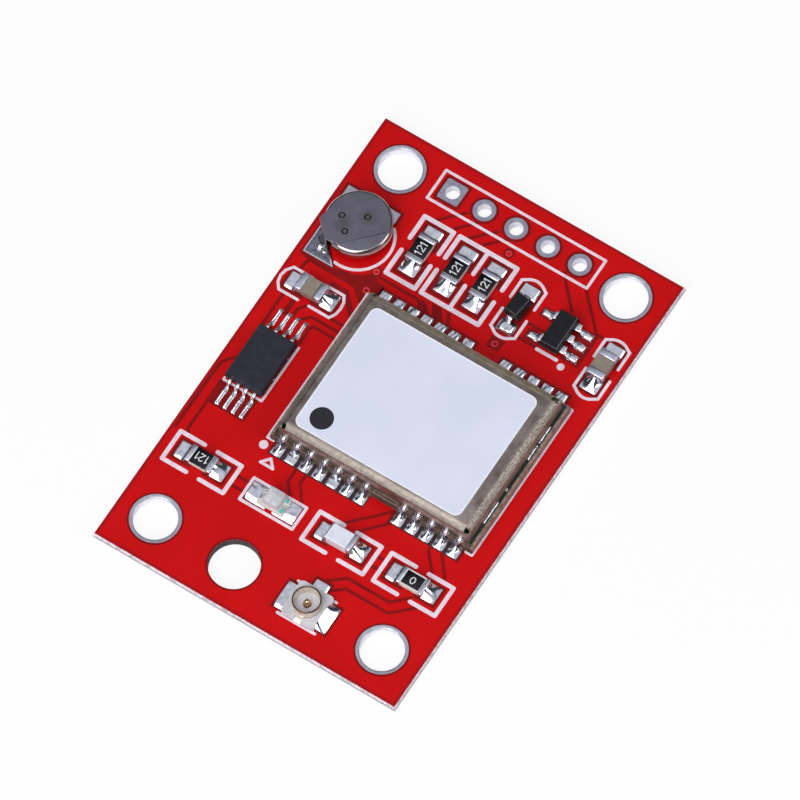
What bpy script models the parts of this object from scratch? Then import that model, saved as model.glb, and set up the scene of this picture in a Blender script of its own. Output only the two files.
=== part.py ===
"""Satellite receiver board: a red circuit board with a shielded receiver module, a backup
cell, an antenna socket, a regulator, a memory chip and small chip parts soldered on top.

Metres, +Z up. The origin is at the middle of the board's underside. +X runs along the
short edges and +Y points at the edge with the row of five header holes.
"""

import math

import bmesh
import bpy
from mathutils import Matrix, Vector

# Clearance between solids that touch on the real board
SEAT_GAP = 0.00001

# Receiver module
MODULE_WIDTH = 0.0160
MODULE_LENGTH = 0.0122
MODULE_BOARD_THICKNESS = 0.0008
PIN_END_INSET = 0.0010
PIN_GROUP_GAP = 0.0030
PINS_IN_LEFT_GROUP = 7
PINS_IN_RIGHT_GROUP = 5
PIN_STEPS = PINS_IN_LEFT_GROUP + PINS_IN_RIGHT_GROUP - 2
PIN_PITCH = (MODULE_WIDTH - 2 * PIN_END_INSET - PIN_GROUP_GAP) / PIN_STEPS
PIN_BITE_RADIUS = 0.23 * PIN_PITCH
PIN_LAND_WIDTH = 0.73 * PIN_PITCH
PIN_LAND_REACH = 0.0009
PIN_SOLDER_HEIGHT = 0.0006
CAN_SIDE_INSET = 0.0004
CAN_END_INSET = 0.0003
CAN_HEIGHT = 0.0016
CAN_WALL = 0.0002
CAN_ROUND = 0.0003
CAN_NOTCH = 0.00036
LABEL_SIDE_INSET = 0.001415
LABEL_END_INSET = 0.00106
LABEL_WIDTH = MODULE_WIDTH - 2 * LABEL_SIDE_INSET
LABEL_LENGTH = MODULE_LENGTH - 2 * LABEL_END_INSET
LABEL_THICKNESS = 0.00008
LABEL_CORNER = 0.00055
LABEL_DROP = 0.00018

# Guessed parts under the shield: width, length and height
INNER_CHIP = (0.0050, 0.0050, 0.00085)
INNER_OSCILLATOR = (0.0025, 0.0020, 0.0008)
INNER_FILTER = (0.0014, 0.0011, 0.0006)
INNER_CRYSTAL = (0.0032, 0.0015, 0.0007)

# Board columns, from the left edge to the right edge
EDGE_TO_COLUMN = 0.00283
COLUMN_TO_MODULE = 0.003415
MODULE_TO_EDGE = 0.001755
BOARD_WIDTH = EDGE_TO_COLUMN + COLUMN_TO_MODULE + MODULE_WIDTH + MODULE_TO_EDGE

# Board rows, from the header edge to the antenna edge
EDGE_TO_HEADER = 0.00234
HEADER_TO_UPPER_ROW = 0.00479
UPPER_ROW_TO_MODULE = 0.00462
MODULE_TO_LOWER_ROW = 0.00382
LOWER_ROW_TO_SOCKET = 0.00513
SOCKET_TO_EDGE = 0.0031
BOARD_LENGTH = (
    EDGE_TO_HEADER + HEADER_TO_UPPER_ROW + UPPER_ROW_TO_MODULE + MODULE_LENGTH
    + MODULE_TO_LOWER_ROW + LOWER_ROW_TO_SOCKET + SOCKET_TO_EDGE
)

# Bare board
BOARD_THICKNESS = 0.0008
SCORE_DEPTH = 0.00026
SCORE_RUN = 0.00007
RIM_HEIGHT = 0.00004
MOUNT_HOLE_DIAMETER = 0.00312
MOUNT_RIM_DIAMETER = 0.00356
MOUNT_HOLE_SIDE_INSET = 0.00298
MOUNT_HOLE_TOP_INSET = 0.00277
PLAIN_HOLE_DIAMETER = 0.0036
PLAIN_HOLE_X = -0.00273
HEADER_HOLES = 5
HEADER_PITCH = 0.00254
HEADER_HOLE_DIAMETER = 0.00102
HEADER_RIM_DIAMETER = 0.0016

# Solder lands and fillets
LAND_THICKNESS = 0.00004

# Facets of the round holes and the angle that counts as a sharp edge
MOUNT_SEGMENTS = 32
HEADER_SEGMENTS = 20
FILLET_STEPS = 4
SHARP_ANGLE = math.radians(40)

# Chip resistors, capacitors and the inductor
CHIP_LENGTH = 0.0020
CHIP_WIDTH = 0.00125
CHIP_FOOTPRINT = 0.00385
CHIP_STANDOFF = 0.00005
END_WRAP = 0.00035
CAPACITOR_WRAP = 0.0005
INDUCTOR_WRAP = 0.00012
END_PROUD = 0.00002
RESISTOR_HEIGHT = 0.00055
RESISTOR_COAT = 0.00003
CAPACITOR_HEIGHT = 0.00095
INDUCTOR_HEIGHT = 0.00105
CAPACITOR_ROUND = 0.00005
INDUCTOR_ROUND = 0.0001

# Light-emitting diode
LED_BASE_HEIGHT = 0.00035
LED_HEIGHT = 0.0011
LED_NOTCH_RADIUS = 0.0003
LED_LENS_BASE = 0.0015
LED_LENS_TOP = 0.0012

# Moulded packages
PACKAGE_STANDOFF = 0.0001
PACKAGE_DRAFT = 0.0001
LEAD_THICKNESS = 0.00012
REGULATOR_WIDTH = 0.0016
REGULATOR_LENGTH = 0.0029
REGULATOR_HEIGHT = 0.0011
REGULATOR_PITCH = 0.00095
REGULATOR_FOOTPRINT = 0.00394
MEMORY_WIDTH = 0.0030
MEMORY_LENGTH = 0.0044
MEMORY_HEIGHT = 0.0010
MEMORY_PITCH = 0.00065
MEMORY_FOOTPRINT = 0.0082
MEMORY_PINS_A_SIDE = 4
DIODE_WIDTH = 0.00125
DIODE_LENGTH = 0.0017
DIODE_HEIGHT = 0.00095
DIODE_TURN = math.radians(-5.5)

# Backup cell and its welded tabs
CELL_RADIUS = 0.00235
CELL_HEIGHT = 0.0014
CELL_RIM_ROUND = 0.0002
CELL_CAP_INSET = 0.00055
CELL_GROOVE_HEIGHT = 0.00034
TAB_THICKNESS = 0.00012
TOP_TAB_HALF_WIDTH = 0.00129
TOP_TAB_LEG_HALF_WIDTH = 0.00083
BOTTOM_TAB_WIDTH = 0.0024
CELL_LAND_WIDTH = 0.00416
TAB_TURN = math.radians(-135)

# Antenna socket
SOCKET_WIDTH = 0.0027
SOCKET_LENGTH = 0.00275
SOCKET_HOUSING_HEIGHT = 0.00036
SOCKET_HEIGHT = 0.00125
SOCKET_RING_DIAMETER = 0.00196
SOCKET_RING_WALL = 0.00013
SOCKET_PIN_DIAMETER = 0.0004
SOCKET_PIN_HEIGHT = 0.0010
SOCKET_PLATE_THICKNESS = 0.00009
SOCKET_FLOOR = 0.00014
SOCKET_FOOTPRINT = 0.00402
SOCKET_LUG_LENGTH = 0.0021
SOCKET_LEG_WIDTH = 0.0005

# Places that follow from the sizes above
BOARD_TOP = BOARD_THICKNESS
SEAT_Z = BOARD_TOP + SEAT_GAP
LEFT_EDGE = -BOARD_WIDTH / 2
RIGHT_EDGE = BOARD_WIDTH / 2
COLUMN_X = LEFT_EDGE + EDGE_TO_COLUMN
MODULE_X = COLUMN_X + COLUMN_TO_MODULE + MODULE_WIDTH / 2
HEADER_Y = BOARD_LENGTH / 2 - EDGE_TO_HEADER
UPPER_ROW_Y = HEADER_Y - HEADER_TO_UPPER_ROW
MODULE_Y = UPPER_ROW_Y - UPPER_ROW_TO_MODULE - MODULE_LENGTH / 2
LOWER_ROW_Y = MODULE_Y - MODULE_LENGTH / 2 - MODULE_TO_LOWER_ROW
SOCKET_Y = LOWER_ROW_Y - LOWER_ROW_TO_SOCKET


# Mesh tools

def clear_scene():
    for old in list(bpy.data.objects):
        bpy.data.objects.remove(old, do_unlink=True)


def material(name, colour, roughness, metallic=0.0):
    """A Principled material; colour is linear red, green and blue."""
    made = bpy.data.materials.new(name)
    made.use_nodes = True
    shader = made.node_tree.nodes["Principled BSDF"]
    shader.inputs["Base Color"].default_value = (*colour, 1.0)
    shader.inputs["Roughness"].default_value = roughness
    shader.inputs["Metallic"].default_value = metallic
    made.diffuse_color = (*colour, 1.0)
    return made


def finished(bm, name):
    """The mesh of a closed bmesh, with its faces turned outwards."""
    bmesh.ops.recalc_face_normals(bm, faces=bm.faces)
    mesh = bpy.data.meshes.new(name)
    bm.to_mesh(mesh)
    bm.free()
    return mesh


def loft(name, sections):
    """A closed solid through rings of points, each ring with the same number of points."""
    bm = bmesh.new()
    rings = [[bm.verts.new(point) for point in section] for section in sections]
    for lower, upper in zip(rings, rings[1:]):
        for i in range(len(lower)):
            j = (i + 1) % len(lower)
            bm.faces.new((lower[i], lower[j], upper[j], upper[i]))
    bm.faces.new(list(reversed(rings[0])))
    bm.faces.new(rings[-1])
    return finished(bm, name)


def prism(name, outline, bottom, top):
    """An outline in X and Y, extruded from one height to another."""
    return loft(name, [[(x, y, z) for x, y in outline] for z in (bottom, top)])


def bar(name, profile, half_width):
    """A profile in X and Z, extruded along Y to both sides."""
    return loft(name, [[(x, y, z) for x, z in profile] for y in (-half_width, half_width)])


def turned(name, profile, segments):
    """A solid of revolution about Z. Its profile starts and ends on the axis."""
    inner = profile[1:-1]
    bm = bmesh.new()
    foot = bm.verts.new((0, 0, profile[0][1]))
    head = bm.verts.new((0, 0, profile[-1][1]))
    rings = []
    for radius, height in inner:
        angles = [2 * math.pi * i / segments for i in range(segments)]
        rings.append([bm.verts.new((radius * math.cos(a), radius * math.sin(a), height)) for a in angles])
    for i in range(segments):
        j = (i + 1) % segments
        bm.faces.new((foot, rings[0][j], rings[0][i]))
        bm.faces.new((head, rings[-1][i], rings[-1][j]))
        for lower, upper in zip(rings, rings[1:]):
            bm.faces.new((lower[i], lower[j], upper[j], upper[i]))
    return finished(bm, name)


def disc(radius, segments, centre=(0.0, 0.0)):
    angles = [2 * math.pi * i / segments for i in range(segments)]
    return [(centre[0] + radius * math.cos(a), centre[1] + radius * math.sin(a)) for a in angles]


def rectangle(x_low, x_high, y_low, y_high):
    return [(x_low, y_low), (x_high, y_low), (x_high, y_high), (x_low, y_high)]


def centred(width, length):
    return rectangle(-width / 2, width / 2, -length / 2, length / 2)


def rounded(width, length, radius, steps):
    """A centred rectangle with round corners."""
    points = []
    corners = ((1, 1, 0), (-1, 1, 90), (-1, -1, 180), (1, -1, 270))
    for x_sign, y_sign, start in corners:
        for i in range(steps + 1):
            angle = math.radians(start + 90 * i / steps)
            x = x_sign * (width / 2 - radius) + radius * math.cos(angle)
            y = y_sign * (length / 2 - radius) + radius * math.sin(angle)
            points.append((x, y))
    return points


def joined(name, meshes):
    """Several meshes as one, as they lie."""
    bm = bmesh.new()
    for mesh in meshes:
        bm.from_mesh(mesh)
    return finished(bm, name)


def combined(name, base, others, operation):
    """The base mesh after one exact Boolean with the other meshes, which may overlap each other."""
    holder = bpy.data.objects.new(name + "_work", base)
    helper = bpy.data.objects.new(name + "_helper", joined(name + "_helper", others))
    helper.hide_render = True
    helper.display_type = "WIRE"
    for used in (holder, helper):
        bpy.context.scene.collection.objects.link(used)
    step = holder.modifiers.new(operation, "BOOLEAN")
    step.operation = operation
    step.object = helper
    step.solver = "EXACT"
    step.use_self = True
    graph = bpy.context.evaluated_depsgraph_get()
    result = bpy.data.meshes.new_from_object(holder.evaluated_get(graph))
    result.name = name
    for used in (holder, helper):
        bpy.data.objects.remove(used, do_unlink=True)
    return result


def fused(name, base, others):
    return combined(name, base, others, "UNION")


def cut(name, base, cutters):
    return combined(name, base, cutters, "DIFFERENCE")


def moved(mesh, x=0.0, y=0.0, z=0.0, turn=0.0):
    """The same mesh after a turn about Z and a shift."""
    mesh.transform(Matrix.Translation((x, y, z)) @ Matrix.Rotation(turn, 4, "Z"))
    return mesh


def bevelled(mesh, width, steps, wanted):
    """The mesh with the edges that wanted(edge) picks rounded off."""
    bm = bmesh.new()
    bm.from_mesh(mesh)
    edges = [edge for edge in bm.edges if wanted(edge)]
    bmesh.ops.bevel(bm, geom=edges, offset=width, segments=steps, profile=0.5, affect="EDGES")
    return finished(bm, mesh.name)


def group(name, x, y, turn=0.0):
    """An empty on the board's top face that carries one component's pieces."""
    empty = bpy.data.objects.new(name, None)
    empty.location = (x, y, SEAT_Z)
    empty.rotation_euler = (0.0, 0.0, turn)
    empty.empty_display_size = 0.001
    bpy.context.scene.collection.objects.link(empty)
    return empty


def piece(name, mesh, finish, parent=None, place=(0.0, 0.0, 0.0), turn=0.0):
    """One sub-part as its own object."""
    mesh.shade_smooth()
    mesh.set_sharp_from_angle(angle=SHARP_ANGLE)
    made = bpy.data.objects.new(name, mesh)
    if not mesh.materials:
        mesh.materials.append(finish)
    made.location = place
    made.rotation_euler = (0.0, 0.0, turn)
    made.parent = parent
    bpy.context.scene.collection.objects.link(made)
    return made


# Layout

def shared_out(start, end, widths, shares):
    """Centres of parts laid side by side. The free length is split over the gaps by their shares."""
    free = end - start - sum(widths)
    centres = []
    here = start
    for width, share in zip(widths, shares):
        here += free * share / sum(shares)
        centres.append(here + width / 2)
        here += width
    return centres


def pin_places():
    """X of each module pin from the module's middle, on either long side."""
    first = -MODULE_WIDTH / 2 + PIN_END_INSET
    left = [first + i * PIN_PITCH for i in range(PINS_IN_LEFT_GROUP)]
    last = MODULE_WIDTH / 2 - PIN_END_INSET
    right = [last - i * PIN_PITCH for i in range(PINS_IN_RIGHT_GROUP)]
    return left + right[::-1]


# Bare board

def header_places():
    return [(i - (HEADER_HOLES - 1) / 2) * HEADER_PITCH for i in range(HEADER_HOLES)]


def mount_hole_places():
    x = BOARD_WIDTH / 2 - MOUNT_HOLE_SIDE_INSET
    upper = BOARD_LENGTH / 2 - MOUNT_HOLE_TOP_INSET
    return [(-x, upper), (x, upper), (-x, SOCKET_Y), (x, SOCKET_Y)]


def board_mesh():
    """The scored board with its raised, plated rims, then every hole drilled through."""
    face = centred(BOARD_WIDTH - 2 * SCORE_RUN, BOARD_LENGTH - 2 * SCORE_RUN)
    web = centred(BOARD_WIDTH, BOARD_LENGTH)
    levels = (
        (face, 0.0), (web, SCORE_DEPTH), (web, BOARD_THICKNESS - SCORE_DEPTH), (face, BOARD_THICKNESS),
    )
    plate = loft("pcb", [[(x, y, z) for x, y in outline] for outline, z in levels])
    rims = []
    drills = []
    root = BOARD_THICKNESS / 2
    for x, y in mount_hole_places():
        outline = disc(MOUNT_RIM_DIAMETER / 2, MOUNT_SEGMENTS, (x, y))
        rims.append(prism("rim", outline, root, BOARD_TOP + RIM_HEIGHT))
        drills.append(drill(MOUNT_HOLE_DIAMETER, MOUNT_SEGMENTS, x, y))
    for index, x in enumerate(header_places()):
        half = HEADER_RIM_DIAMETER / 2
        square = rectangle(x - half, x + half, HEADER_Y - half, HEADER_Y + half)
        outline = square if index == 0 else disc(half, HEADER_SEGMENTS, (x, HEADER_Y))
        rims.append(prism("rim", outline, root, BOARD_TOP + RIM_HEIGHT))
        drills.append(drill(HEADER_HOLE_DIAMETER, HEADER_SEGMENTS, x, HEADER_Y))
    drills.append(drill(PLAIN_HOLE_DIAMETER, MOUNT_SEGMENTS, PLAIN_HOLE_X, SOCKET_Y))
    return cut("pcb", fused("pcb", plate, rims), drills)


def drill(diameter, segments, x, y):
    return prism("drill", disc(diameter / 2, segments, (x, y)), -BOARD_THICKNESS, 2 * BOARD_THICKNESS)


# Receiver module

def castellated_outline():
    """The module board's outline, with a half-round bite at each pin."""
    right = MODULE_WIDTH / 2
    top = MODULE_LENGTH / 2
    steps = 6
    points = [(-right, -top)]
    for x in pin_places():
        for i in range(steps + 1):
            angle = math.pi - math.pi * i / steps
            points.append((x + PIN_BITE_RADIUS * math.cos(angle), -top + PIN_BITE_RADIUS * math.sin(angle)))
    points.append((right, -top))
    points += [(-x, -y) for x, y in points]
    return points


def pin_solder(x, side):
    """Solder from inside a bite down to its land on the main board."""
    edge = MODULE_LENGTH / 2
    width = PIN_LAND_WIDTH
    stations = (
        (-1.2 * PIN_BITE_RADIUS, 0.30 * width, PIN_SOLDER_HEIGHT),
        (0.1 * PIN_LAND_REACH, 0.31 * width, 0.93 * PIN_SOLDER_HEIGHT),
        (0.3 * PIN_LAND_REACH, 0.40 * width, 0.48 * PIN_SOLDER_HEIGHT),
        (0.6 * PIN_LAND_REACH, 0.48 * width, 0.2 * PIN_SOLDER_HEIGHT),
        (PIN_LAND_REACH, 0.50 * width, LAND_THICKNESS),
    )
    sections = []
    for reach, half, height in stations:
        outline = (
            (-half, 0.0), (half, 0.0), (half, 0.6 * height),
            (0.6 * half, height), (-0.6 * half, height), (-half, 0.6 * height),
        )
        sections.append([(x + dx, side * (edge + reach), dz) for dx, dz in outline])
    return loft("solder", sections)


def receiver_board_mesh():
    plate = prism("receiver_board", castellated_outline(), 0.0, MODULE_BOARD_THICKNESS)
    joints = [pin_solder(x, side) for side in (-1, 1) for x in pin_places()]
    return fused("receiver_board", plate, joints)


def can_mesh():
    """The folded shield: a thin shell, open below, with a relief notch where each corner folds."""
    width = MODULE_WIDTH - 2 * CAN_SIDE_INSET
    length = MODULE_LENGTH - 2 * CAN_END_INSET
    block = prism("shield_can", centred(width, length), 0.0, CAN_HEIGHT)
    block = bevelled(block, CAN_ROUND, 3, lambda edge: max(v.co.z for v in edge.verts) > CAN_HEIGHT / 2)
    hollow = centred(width - 2 * CAN_WALL, length - 2 * CAN_WALL)
    inner = prism("hollow", hollow, -CAN_HEIGHT, CAN_HEIGHT - CAN_WALL)
    notches = []
    for x_sign in (-1, 1):
        for y_sign in (-1, 1):
            notch = prism("notch", centred(CAN_NOTCH, CAN_NOTCH), CAN_HEIGHT - CAN_NOTCH, 2 * CAN_HEIGHT)
            notches.append(moved(notch, x_sign * (width / 2 - CAN_WALL), y_sign * (length / 2 - CAN_WALL)))
    return cut("shield_can", block, [inner] + notches)


def add_receiver(finishes):
    carrier = group("receiver_module", MODULE_X, MODULE_Y)
    piece("receiver_board", receiver_board_mesh(), finishes["module_board"], carrier)
    deck = MODULE_BOARD_THICKNESS + SEAT_GAP
    piece("shield_can", can_mesh(), finishes["can"], carrier, (0, 0, deck))
    label = prism("module_label", rounded(LABEL_WIDTH, LABEL_LENGTH, LABEL_CORNER, 5), 0.0, LABEL_THICKNESS)
    piece("module_label", label, finishes["label"], carrier, (0, -LABEL_DROP, deck + CAN_HEIGHT + SEAT_GAP))
    inside = (
        ("receiver_chip", INNER_CHIP, 0.11, -0.08, "package"),
        ("reference_oscillator", INNER_OSCILLATOR, -0.2, 0.21, "ceramic"),
        ("antenna_filter", INNER_FILTER, 0.34, 0.26, "ceramic"),
        ("clock_crystal", INNER_CRYSTAL, -0.28, -0.23, "ceramic"),
    )
    for name, (width, length, height), x_share, y_share, finish in inside:
        body = prism(name, centred(width, length), 0.0, height)
        body = bevelled(body, height / 8, 1, lambda edge: min(v.co.z for v in edge.verts) > 0.0)
        piece(name, body, finishes[finish], carrier, (x_share * MODULE_WIDTH, y_share * MODULE_LENGTH, deck))


# Solder profiles

def fillet_curve(x_low, z_low, x_high, z_high):
    """A hollow quarter curve of wetted solder, from its outer foot up to the wall it clings to."""
    points = []
    for i in range(FILLET_STEPS + 1):
        angle = math.pi / 2 * i / FILLET_STEPS
        x = x_low + (x_high - x_low) * math.sin(angle)
        z = z_high + (z_low - z_high) * math.cos(angle)
        points.append((x, z))
    return points


# Chip parts

def chip_end_mesh(name, height, wrap):
    """A chip's wrapped end, its solder fillet and its land, with the chip's middle at X = 0."""
    inner = CHIP_LENGTH / 2 - wrap
    outer = CHIP_LENGTH / 2
    foot = CHIP_FOOTPRINT / 2
    run = 0.6 * (foot - outer)
    climb = 0.7 * height
    profile = [(inner, 0.0), (foot, 0.0), (foot, LAND_THICKNESS)]
    profile += fillet_curve(outer + run, LAND_THICKNESS, outer, climb)
    profile += [(outer, 0.92 * height), (outer - 0.08 * height, height), (inner, height)]
    return bar(name, profile, CHIP_WIDTH / 2 + END_PROUD)


def add_chip(name, x, y, turn, height, wrap, body, body_finish, end_finish):
    """One chip part: a body between two soldered ends."""
    carrier = group(name, x, y, turn)
    end = chip_end_mesh(name + "_end", height, wrap)
    piece(name + "_body", body, body_finish, carrier)
    piece(name + "_end_1", end, end_finish, carrier)
    piece(name + "_end_2", end, end_finish, carrier, turn=math.pi)


def chip_body_half(wrap):
    return CHIP_LENGTH / 2 - wrap - SEAT_GAP


def resistor_body_mesh(name):
    """Ceramic with a raised coat on top that slopes off towards both ends."""
    half = chip_body_half(END_WRAP)
    top = RESISTOR_HEIGHT - END_PROUD
    crown = RESISTOR_HEIGHT - END_PROUD + RESISTOR_COAT
    slope = 0.1 * half
    profile = [(-half, CHIP_STANDOFF), (half, CHIP_STANDOFF), (half, top), (half - slope, crown)]
    profile += [(slope - half, crown), (-half, top)]
    return bar(name, profile, CHIP_WIDTH / 2)


def block_body_mesh(name, height, wrap, rounding):
    """A plain sintered block with softened long edges."""
    half = chip_body_half(wrap)
    body = prism(name, centred(2 * half, CHIP_WIDTH), CHIP_STANDOFF, height - END_PROUD)

    def runs_lengthwise(edge):
        return abs(edge.verts[0].co.x - edge.verts[1].co.x) > half

    return bevelled(body, rounding, 2, runs_lengthwise)


def add_chips(finishes):
    cell_side = COLUMN_X + 1.02 * CELL_RADIUS
    upper = shared_out(
        cell_side, RIGHT_EDGE,
        [CHIP_WIDTH, CHIP_WIDTH, CHIP_WIDTH, DIODE_WIDTH, REGULATOR_FOOTPRINT, CHIP_WIDTH],
        [1.62, 1.55, 1.04, 1.55, 0.87, 1.07, 0.9],
    )
    lower = shared_out(
        LEFT_EDGE, RIGHT_EDGE, [CHIP_FOOTPRINT] * 4, [1.42, 1.89, 1.59, 1.82, 1.88],
    )
    upright = math.pi / 2
    resistors = (
        (upper[0], UPPER_ROW_Y, upright), (upper[1], UPPER_ROW_Y, upright),
        (upper[2], UPPER_ROW_Y, upright), (lower[0], LOWER_ROW_Y, 0.0), (lower[3], LOWER_ROW_Y, 0.0),
    )
    for number, (x, y, turn) in enumerate(resistors, 1):
        name = f"resistor_{number}"
        body = resistor_body_mesh(name)
        height, wrap = RESISTOR_HEIGHT, END_WRAP
        add_chip(name, x, y, turn, height, wrap, body, finishes["resistor"], finishes["tin"])
    capacitor_1_y = MODULE_Y + 0.36 * MODULE_LENGTH
    capacitors = ((COLUMN_X, capacitor_1_y, 0.0), (upper[5], UPPER_ROW_Y - CHIP_WIDTH * 2 / 3, upright))
    for number, (x, y, turn) in enumerate(capacitors, 1):
        name = f"capacitor_{number}"
        height, wrap = CAPACITOR_HEIGHT, CAPACITOR_WRAP
        body = block_body_mesh(name, height, wrap, CAPACITOR_ROUND)
        add_chip(name, x, y, turn, height, wrap, body, finishes["capacitor"], finishes["tin"])
    height, wrap = INDUCTOR_HEIGHT, INDUCTOR_WRAP
    body = block_body_mesh("inductor", height, wrap, INDUCTOR_ROUND)
    coil = finishes["coil_body"]
    add_chip("inductor", lower[2], LOWER_ROW_Y, 0.0, height, wrap, body, coil, finishes["tin"])
    add_led(lower[1], finishes)
    add_diode(upper[3], finishes)
    add_regulator(upper[4], finishes)


# Light-emitting diode

def led_base_outline():
    """The base seen from above, with a half-moon notch in each end."""
    half = CHIP_LENGTH / 2
    side = CHIP_WIDTH / 2
    steps = 8
    points = [(-half, -side), (half, -side)]
    for i in range(steps + 1):
        angle = -math.pi / 2 - math.pi * i / steps
        points.append((half + LED_NOTCH_RADIUS * math.cos(angle), LED_NOTCH_RADIUS * math.sin(angle)))
    return points + [(half, side)] + [(-x, -y) for x, y in points[2:]]


def led_terminal_mesh():
    """Solder on the land, with a boss that fills the half-moon notch."""
    outer = CHIP_LENGTH / 2 + SEAT_GAP
    foot = CHIP_FOOTPRINT / 2
    climb = 0.8 * LED_BASE_HEIGHT
    profile = [(outer, 0.0), (foot, 0.0), (foot, LAND_THICKNESS)]
    profile += fillet_curve(outer + 0.6 * (foot - outer), LAND_THICKNESS, outer, climb)
    fillet = bar("led_terminal", profile, CHIP_WIDTH / 2 + END_PROUD)
    boss_radius = LED_NOTCH_RADIUS - 2 * SEAT_GAP
    boss = prism("boss", disc(boss_radius, 16, (CHIP_LENGTH / 2, 0.0)), 0.0, 0.7 * LED_BASE_HEIGHT)
    return fused("led_terminal", fillet, [boss])


def add_led(x, finishes):
    carrier = group("led", x, LOWER_ROW_Y)
    base = prism("led_base", led_base_outline(), CHIP_STANDOFF, LED_BASE_HEIGHT)
    piece("led_base", base, finishes["led_base"], carrier)
    side = CHIP_WIDTH
    levels = (
        (LED_LENS_BASE, side, LED_BASE_HEIGHT + SEAT_GAP),
        (LED_LENS_TOP, side, 0.93 * LED_HEIGHT),
        (0.9 * LED_LENS_TOP, 0.9 * side, LED_HEIGHT),
    )
    sections = [[(px, py, z) for px, py in centred(width, length)] for width, length, z in levels]
    piece("led_lens", loft("led_lens", sections), finishes["led_lens"], carrier)
    terminal = led_terminal_mesh()
    piece("led_terminal_1", terminal, finishes["tin"], carrier)
    piece("led_terminal_2", terminal, finishes["tin"], carrier, turn=math.pi)


# Moulded packages and their leads

def moulded_body_mesh(name, width, length, height):
    """A moulded block, widest at its parting line and drafted above and below it."""
    parting = (PACKAGE_STANDOFF + height) / 2
    levels = (
        (2 * PACKAGE_DRAFT, PACKAGE_STANDOFF), (0.0, parting - PACKAGE_DRAFT / 2),
        (0.0, parting + PACKAGE_DRAFT / 2), (2 * PACKAGE_DRAFT, height),
    )
    sections = [[(x, y, z) for x, y in centred(width - less, length - less)] for less, z in levels]
    return loft(name, sections)


def smoothed(path, radius, steps=3):
    """A path in X and Z with an arc of about this radius at each inner corner."""
    points = [Vector(path[0])]
    for before, corner, after in zip(path, path[1:], path[2:]):
        corner = Vector(corner)
        start = corner + (Vector(before) - corner).normalized() * radius
        end = corner + (Vector(after) - corner).normalized() * radius
        for i in range(steps + 1):
            t = i / steps
            points.append(start * (1 - t) ** 2 + corner * 2 * t * (1 - t) + end * t ** 2)
    points.append(Vector(path[-1]))
    return points


def strip_profile(path, thickness):
    """The closed outline of a strip of even thickness that follows a path in X and Z."""
    left = []
    right = []
    for i, point in enumerate(path):
        ahead = path[min(i + 1, len(path) - 1)] - path[max(i - 1, 0)]
        normal = Vector((-ahead.y, ahead.x)).normalized() * thickness / 2
        left.append(tuple(point + normal))
        right.append(tuple(point - normal))
    return left + right[::-1]


def gull_lead_mesh(name, width, thickness, exit_height, shoulder, tip, land, side=0.0, askew=0.0):
    """A gull-wing lead with its solder and land. X = 0 is the package's side; tip and the two
    ends of the land are distances from it. A package that is soldered askew, with its middle at
    -side, leaves its lands straight on the board."""
    sole = 0.5 * LAND_THICKNESS
    heel = shoulder + 0.3 * (tip - shoulder)
    level = sole + thickness / 2
    path = [(SEAT_GAP, exit_height), (shoulder, exit_height), (heel, level), (tip, level)]
    strip = bar(name, strip_profile(smoothed(path, 0.9 * thickness), thickness), width / 2)
    land_start, land_end, land_width = land
    profile = [(land_start, 0.0), (land_end, 0.0), (land_end, LAND_THICKNESS)]
    reach = min(0.8 * (land_end - tip), 2.5 * thickness)
    profile += fillet_curve(tip + reach, LAND_THICKNESS, tip - 0.2 * thickness, sole + 0.85 * thickness)
    profile += [(heel + 0.5 * thickness, sole + 0.6 * thickness), (land_start, LAND_THICKNESS)]
    solder = moved(bar("solder", profile, land_width / 2), x=side)
    return fused(name, strip, [moved(moved(solder, turn=-askew), x=-side)])


def add_regulator(x, finishes):
    """A five-lead regulator: three leads towards +X and two towards -X."""
    carrier = group("regulator", x, UPPER_ROW_Y - 0.11 * REGULATOR_LENGTH)
    body = moulded_body_mesh("regulator_body", REGULATOR_WIDTH, REGULATOR_LENGTH, REGULATOR_HEIGHT)
    piece("regulator_body", body, finishes["package"], carrier)
    side = REGULATOR_WIDTH / 2
    outreach = REGULATOR_FOOTPRINT / 2 - side
    exit_height = (PACKAGE_STANDOFF + REGULATOR_HEIGHT) / 2
    lead = gull_lead_mesh(
        "regulator_lead", 0.4 * REGULATOR_PITCH, LEAD_THICKNESS, exit_height, 0.14 * outreach,
        0.55 * outreach, (0.25 * outreach, outreach, 0.58 * REGULATOR_PITCH),
    )
    places = [(1, 1), (1, 0), (1, -1), (-1, -1), (-1, 1)]
    for number, (side_sign, step) in enumerate(places, 1):
        turn = 0.0 if side_sign > 0 else math.pi
        place = (side_sign * side, step * REGULATOR_PITCH, 0.0)
        piece(f"regulator_lead_{number}", lead, finishes["tin"], carrier, place, turn)


def add_memory(finishes):
    """An eight-lead memory chip with four fine leads towards +Y and four towards -Y."""
    carrier = group("memory_chip", COLUMN_X, MODULE_Y - 0.15 * MODULE_LENGTH)
    body = moulded_body_mesh("memory_chip_body", MEMORY_WIDTH, MEMORY_LENGTH, MEMORY_HEIGHT)
    piece("memory_chip_body", body, finishes["memory"], carrier)
    side = MEMORY_LENGTH / 2
    outreach = MEMORY_FOOTPRINT / 2 - side
    exit_height = (PACKAGE_STANDOFF + MEMORY_HEIGHT) / 2
    lead = gull_lead_mesh(
        "memory_lead", 0.36 * MEMORY_PITCH, LEAD_THICKNESS, exit_height, 0.14 * outreach,
        0.53 * outreach, (0.25 * outreach, outreach, 0.52 * MEMORY_PITCH),
    )
    number = 0
    for side_sign in (-1, 1):
        for step in range(MEMORY_PINS_A_SIDE):
            number += 1
            x = (step - (MEMORY_PINS_A_SIDE - 1) / 2) * MEMORY_PITCH
            turn = side_sign * math.pi / 2
            piece(f"memory_lead_{number}", lead, finishes["tin"], carrier, (x, side_sign * side, 0.0), turn)


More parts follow.
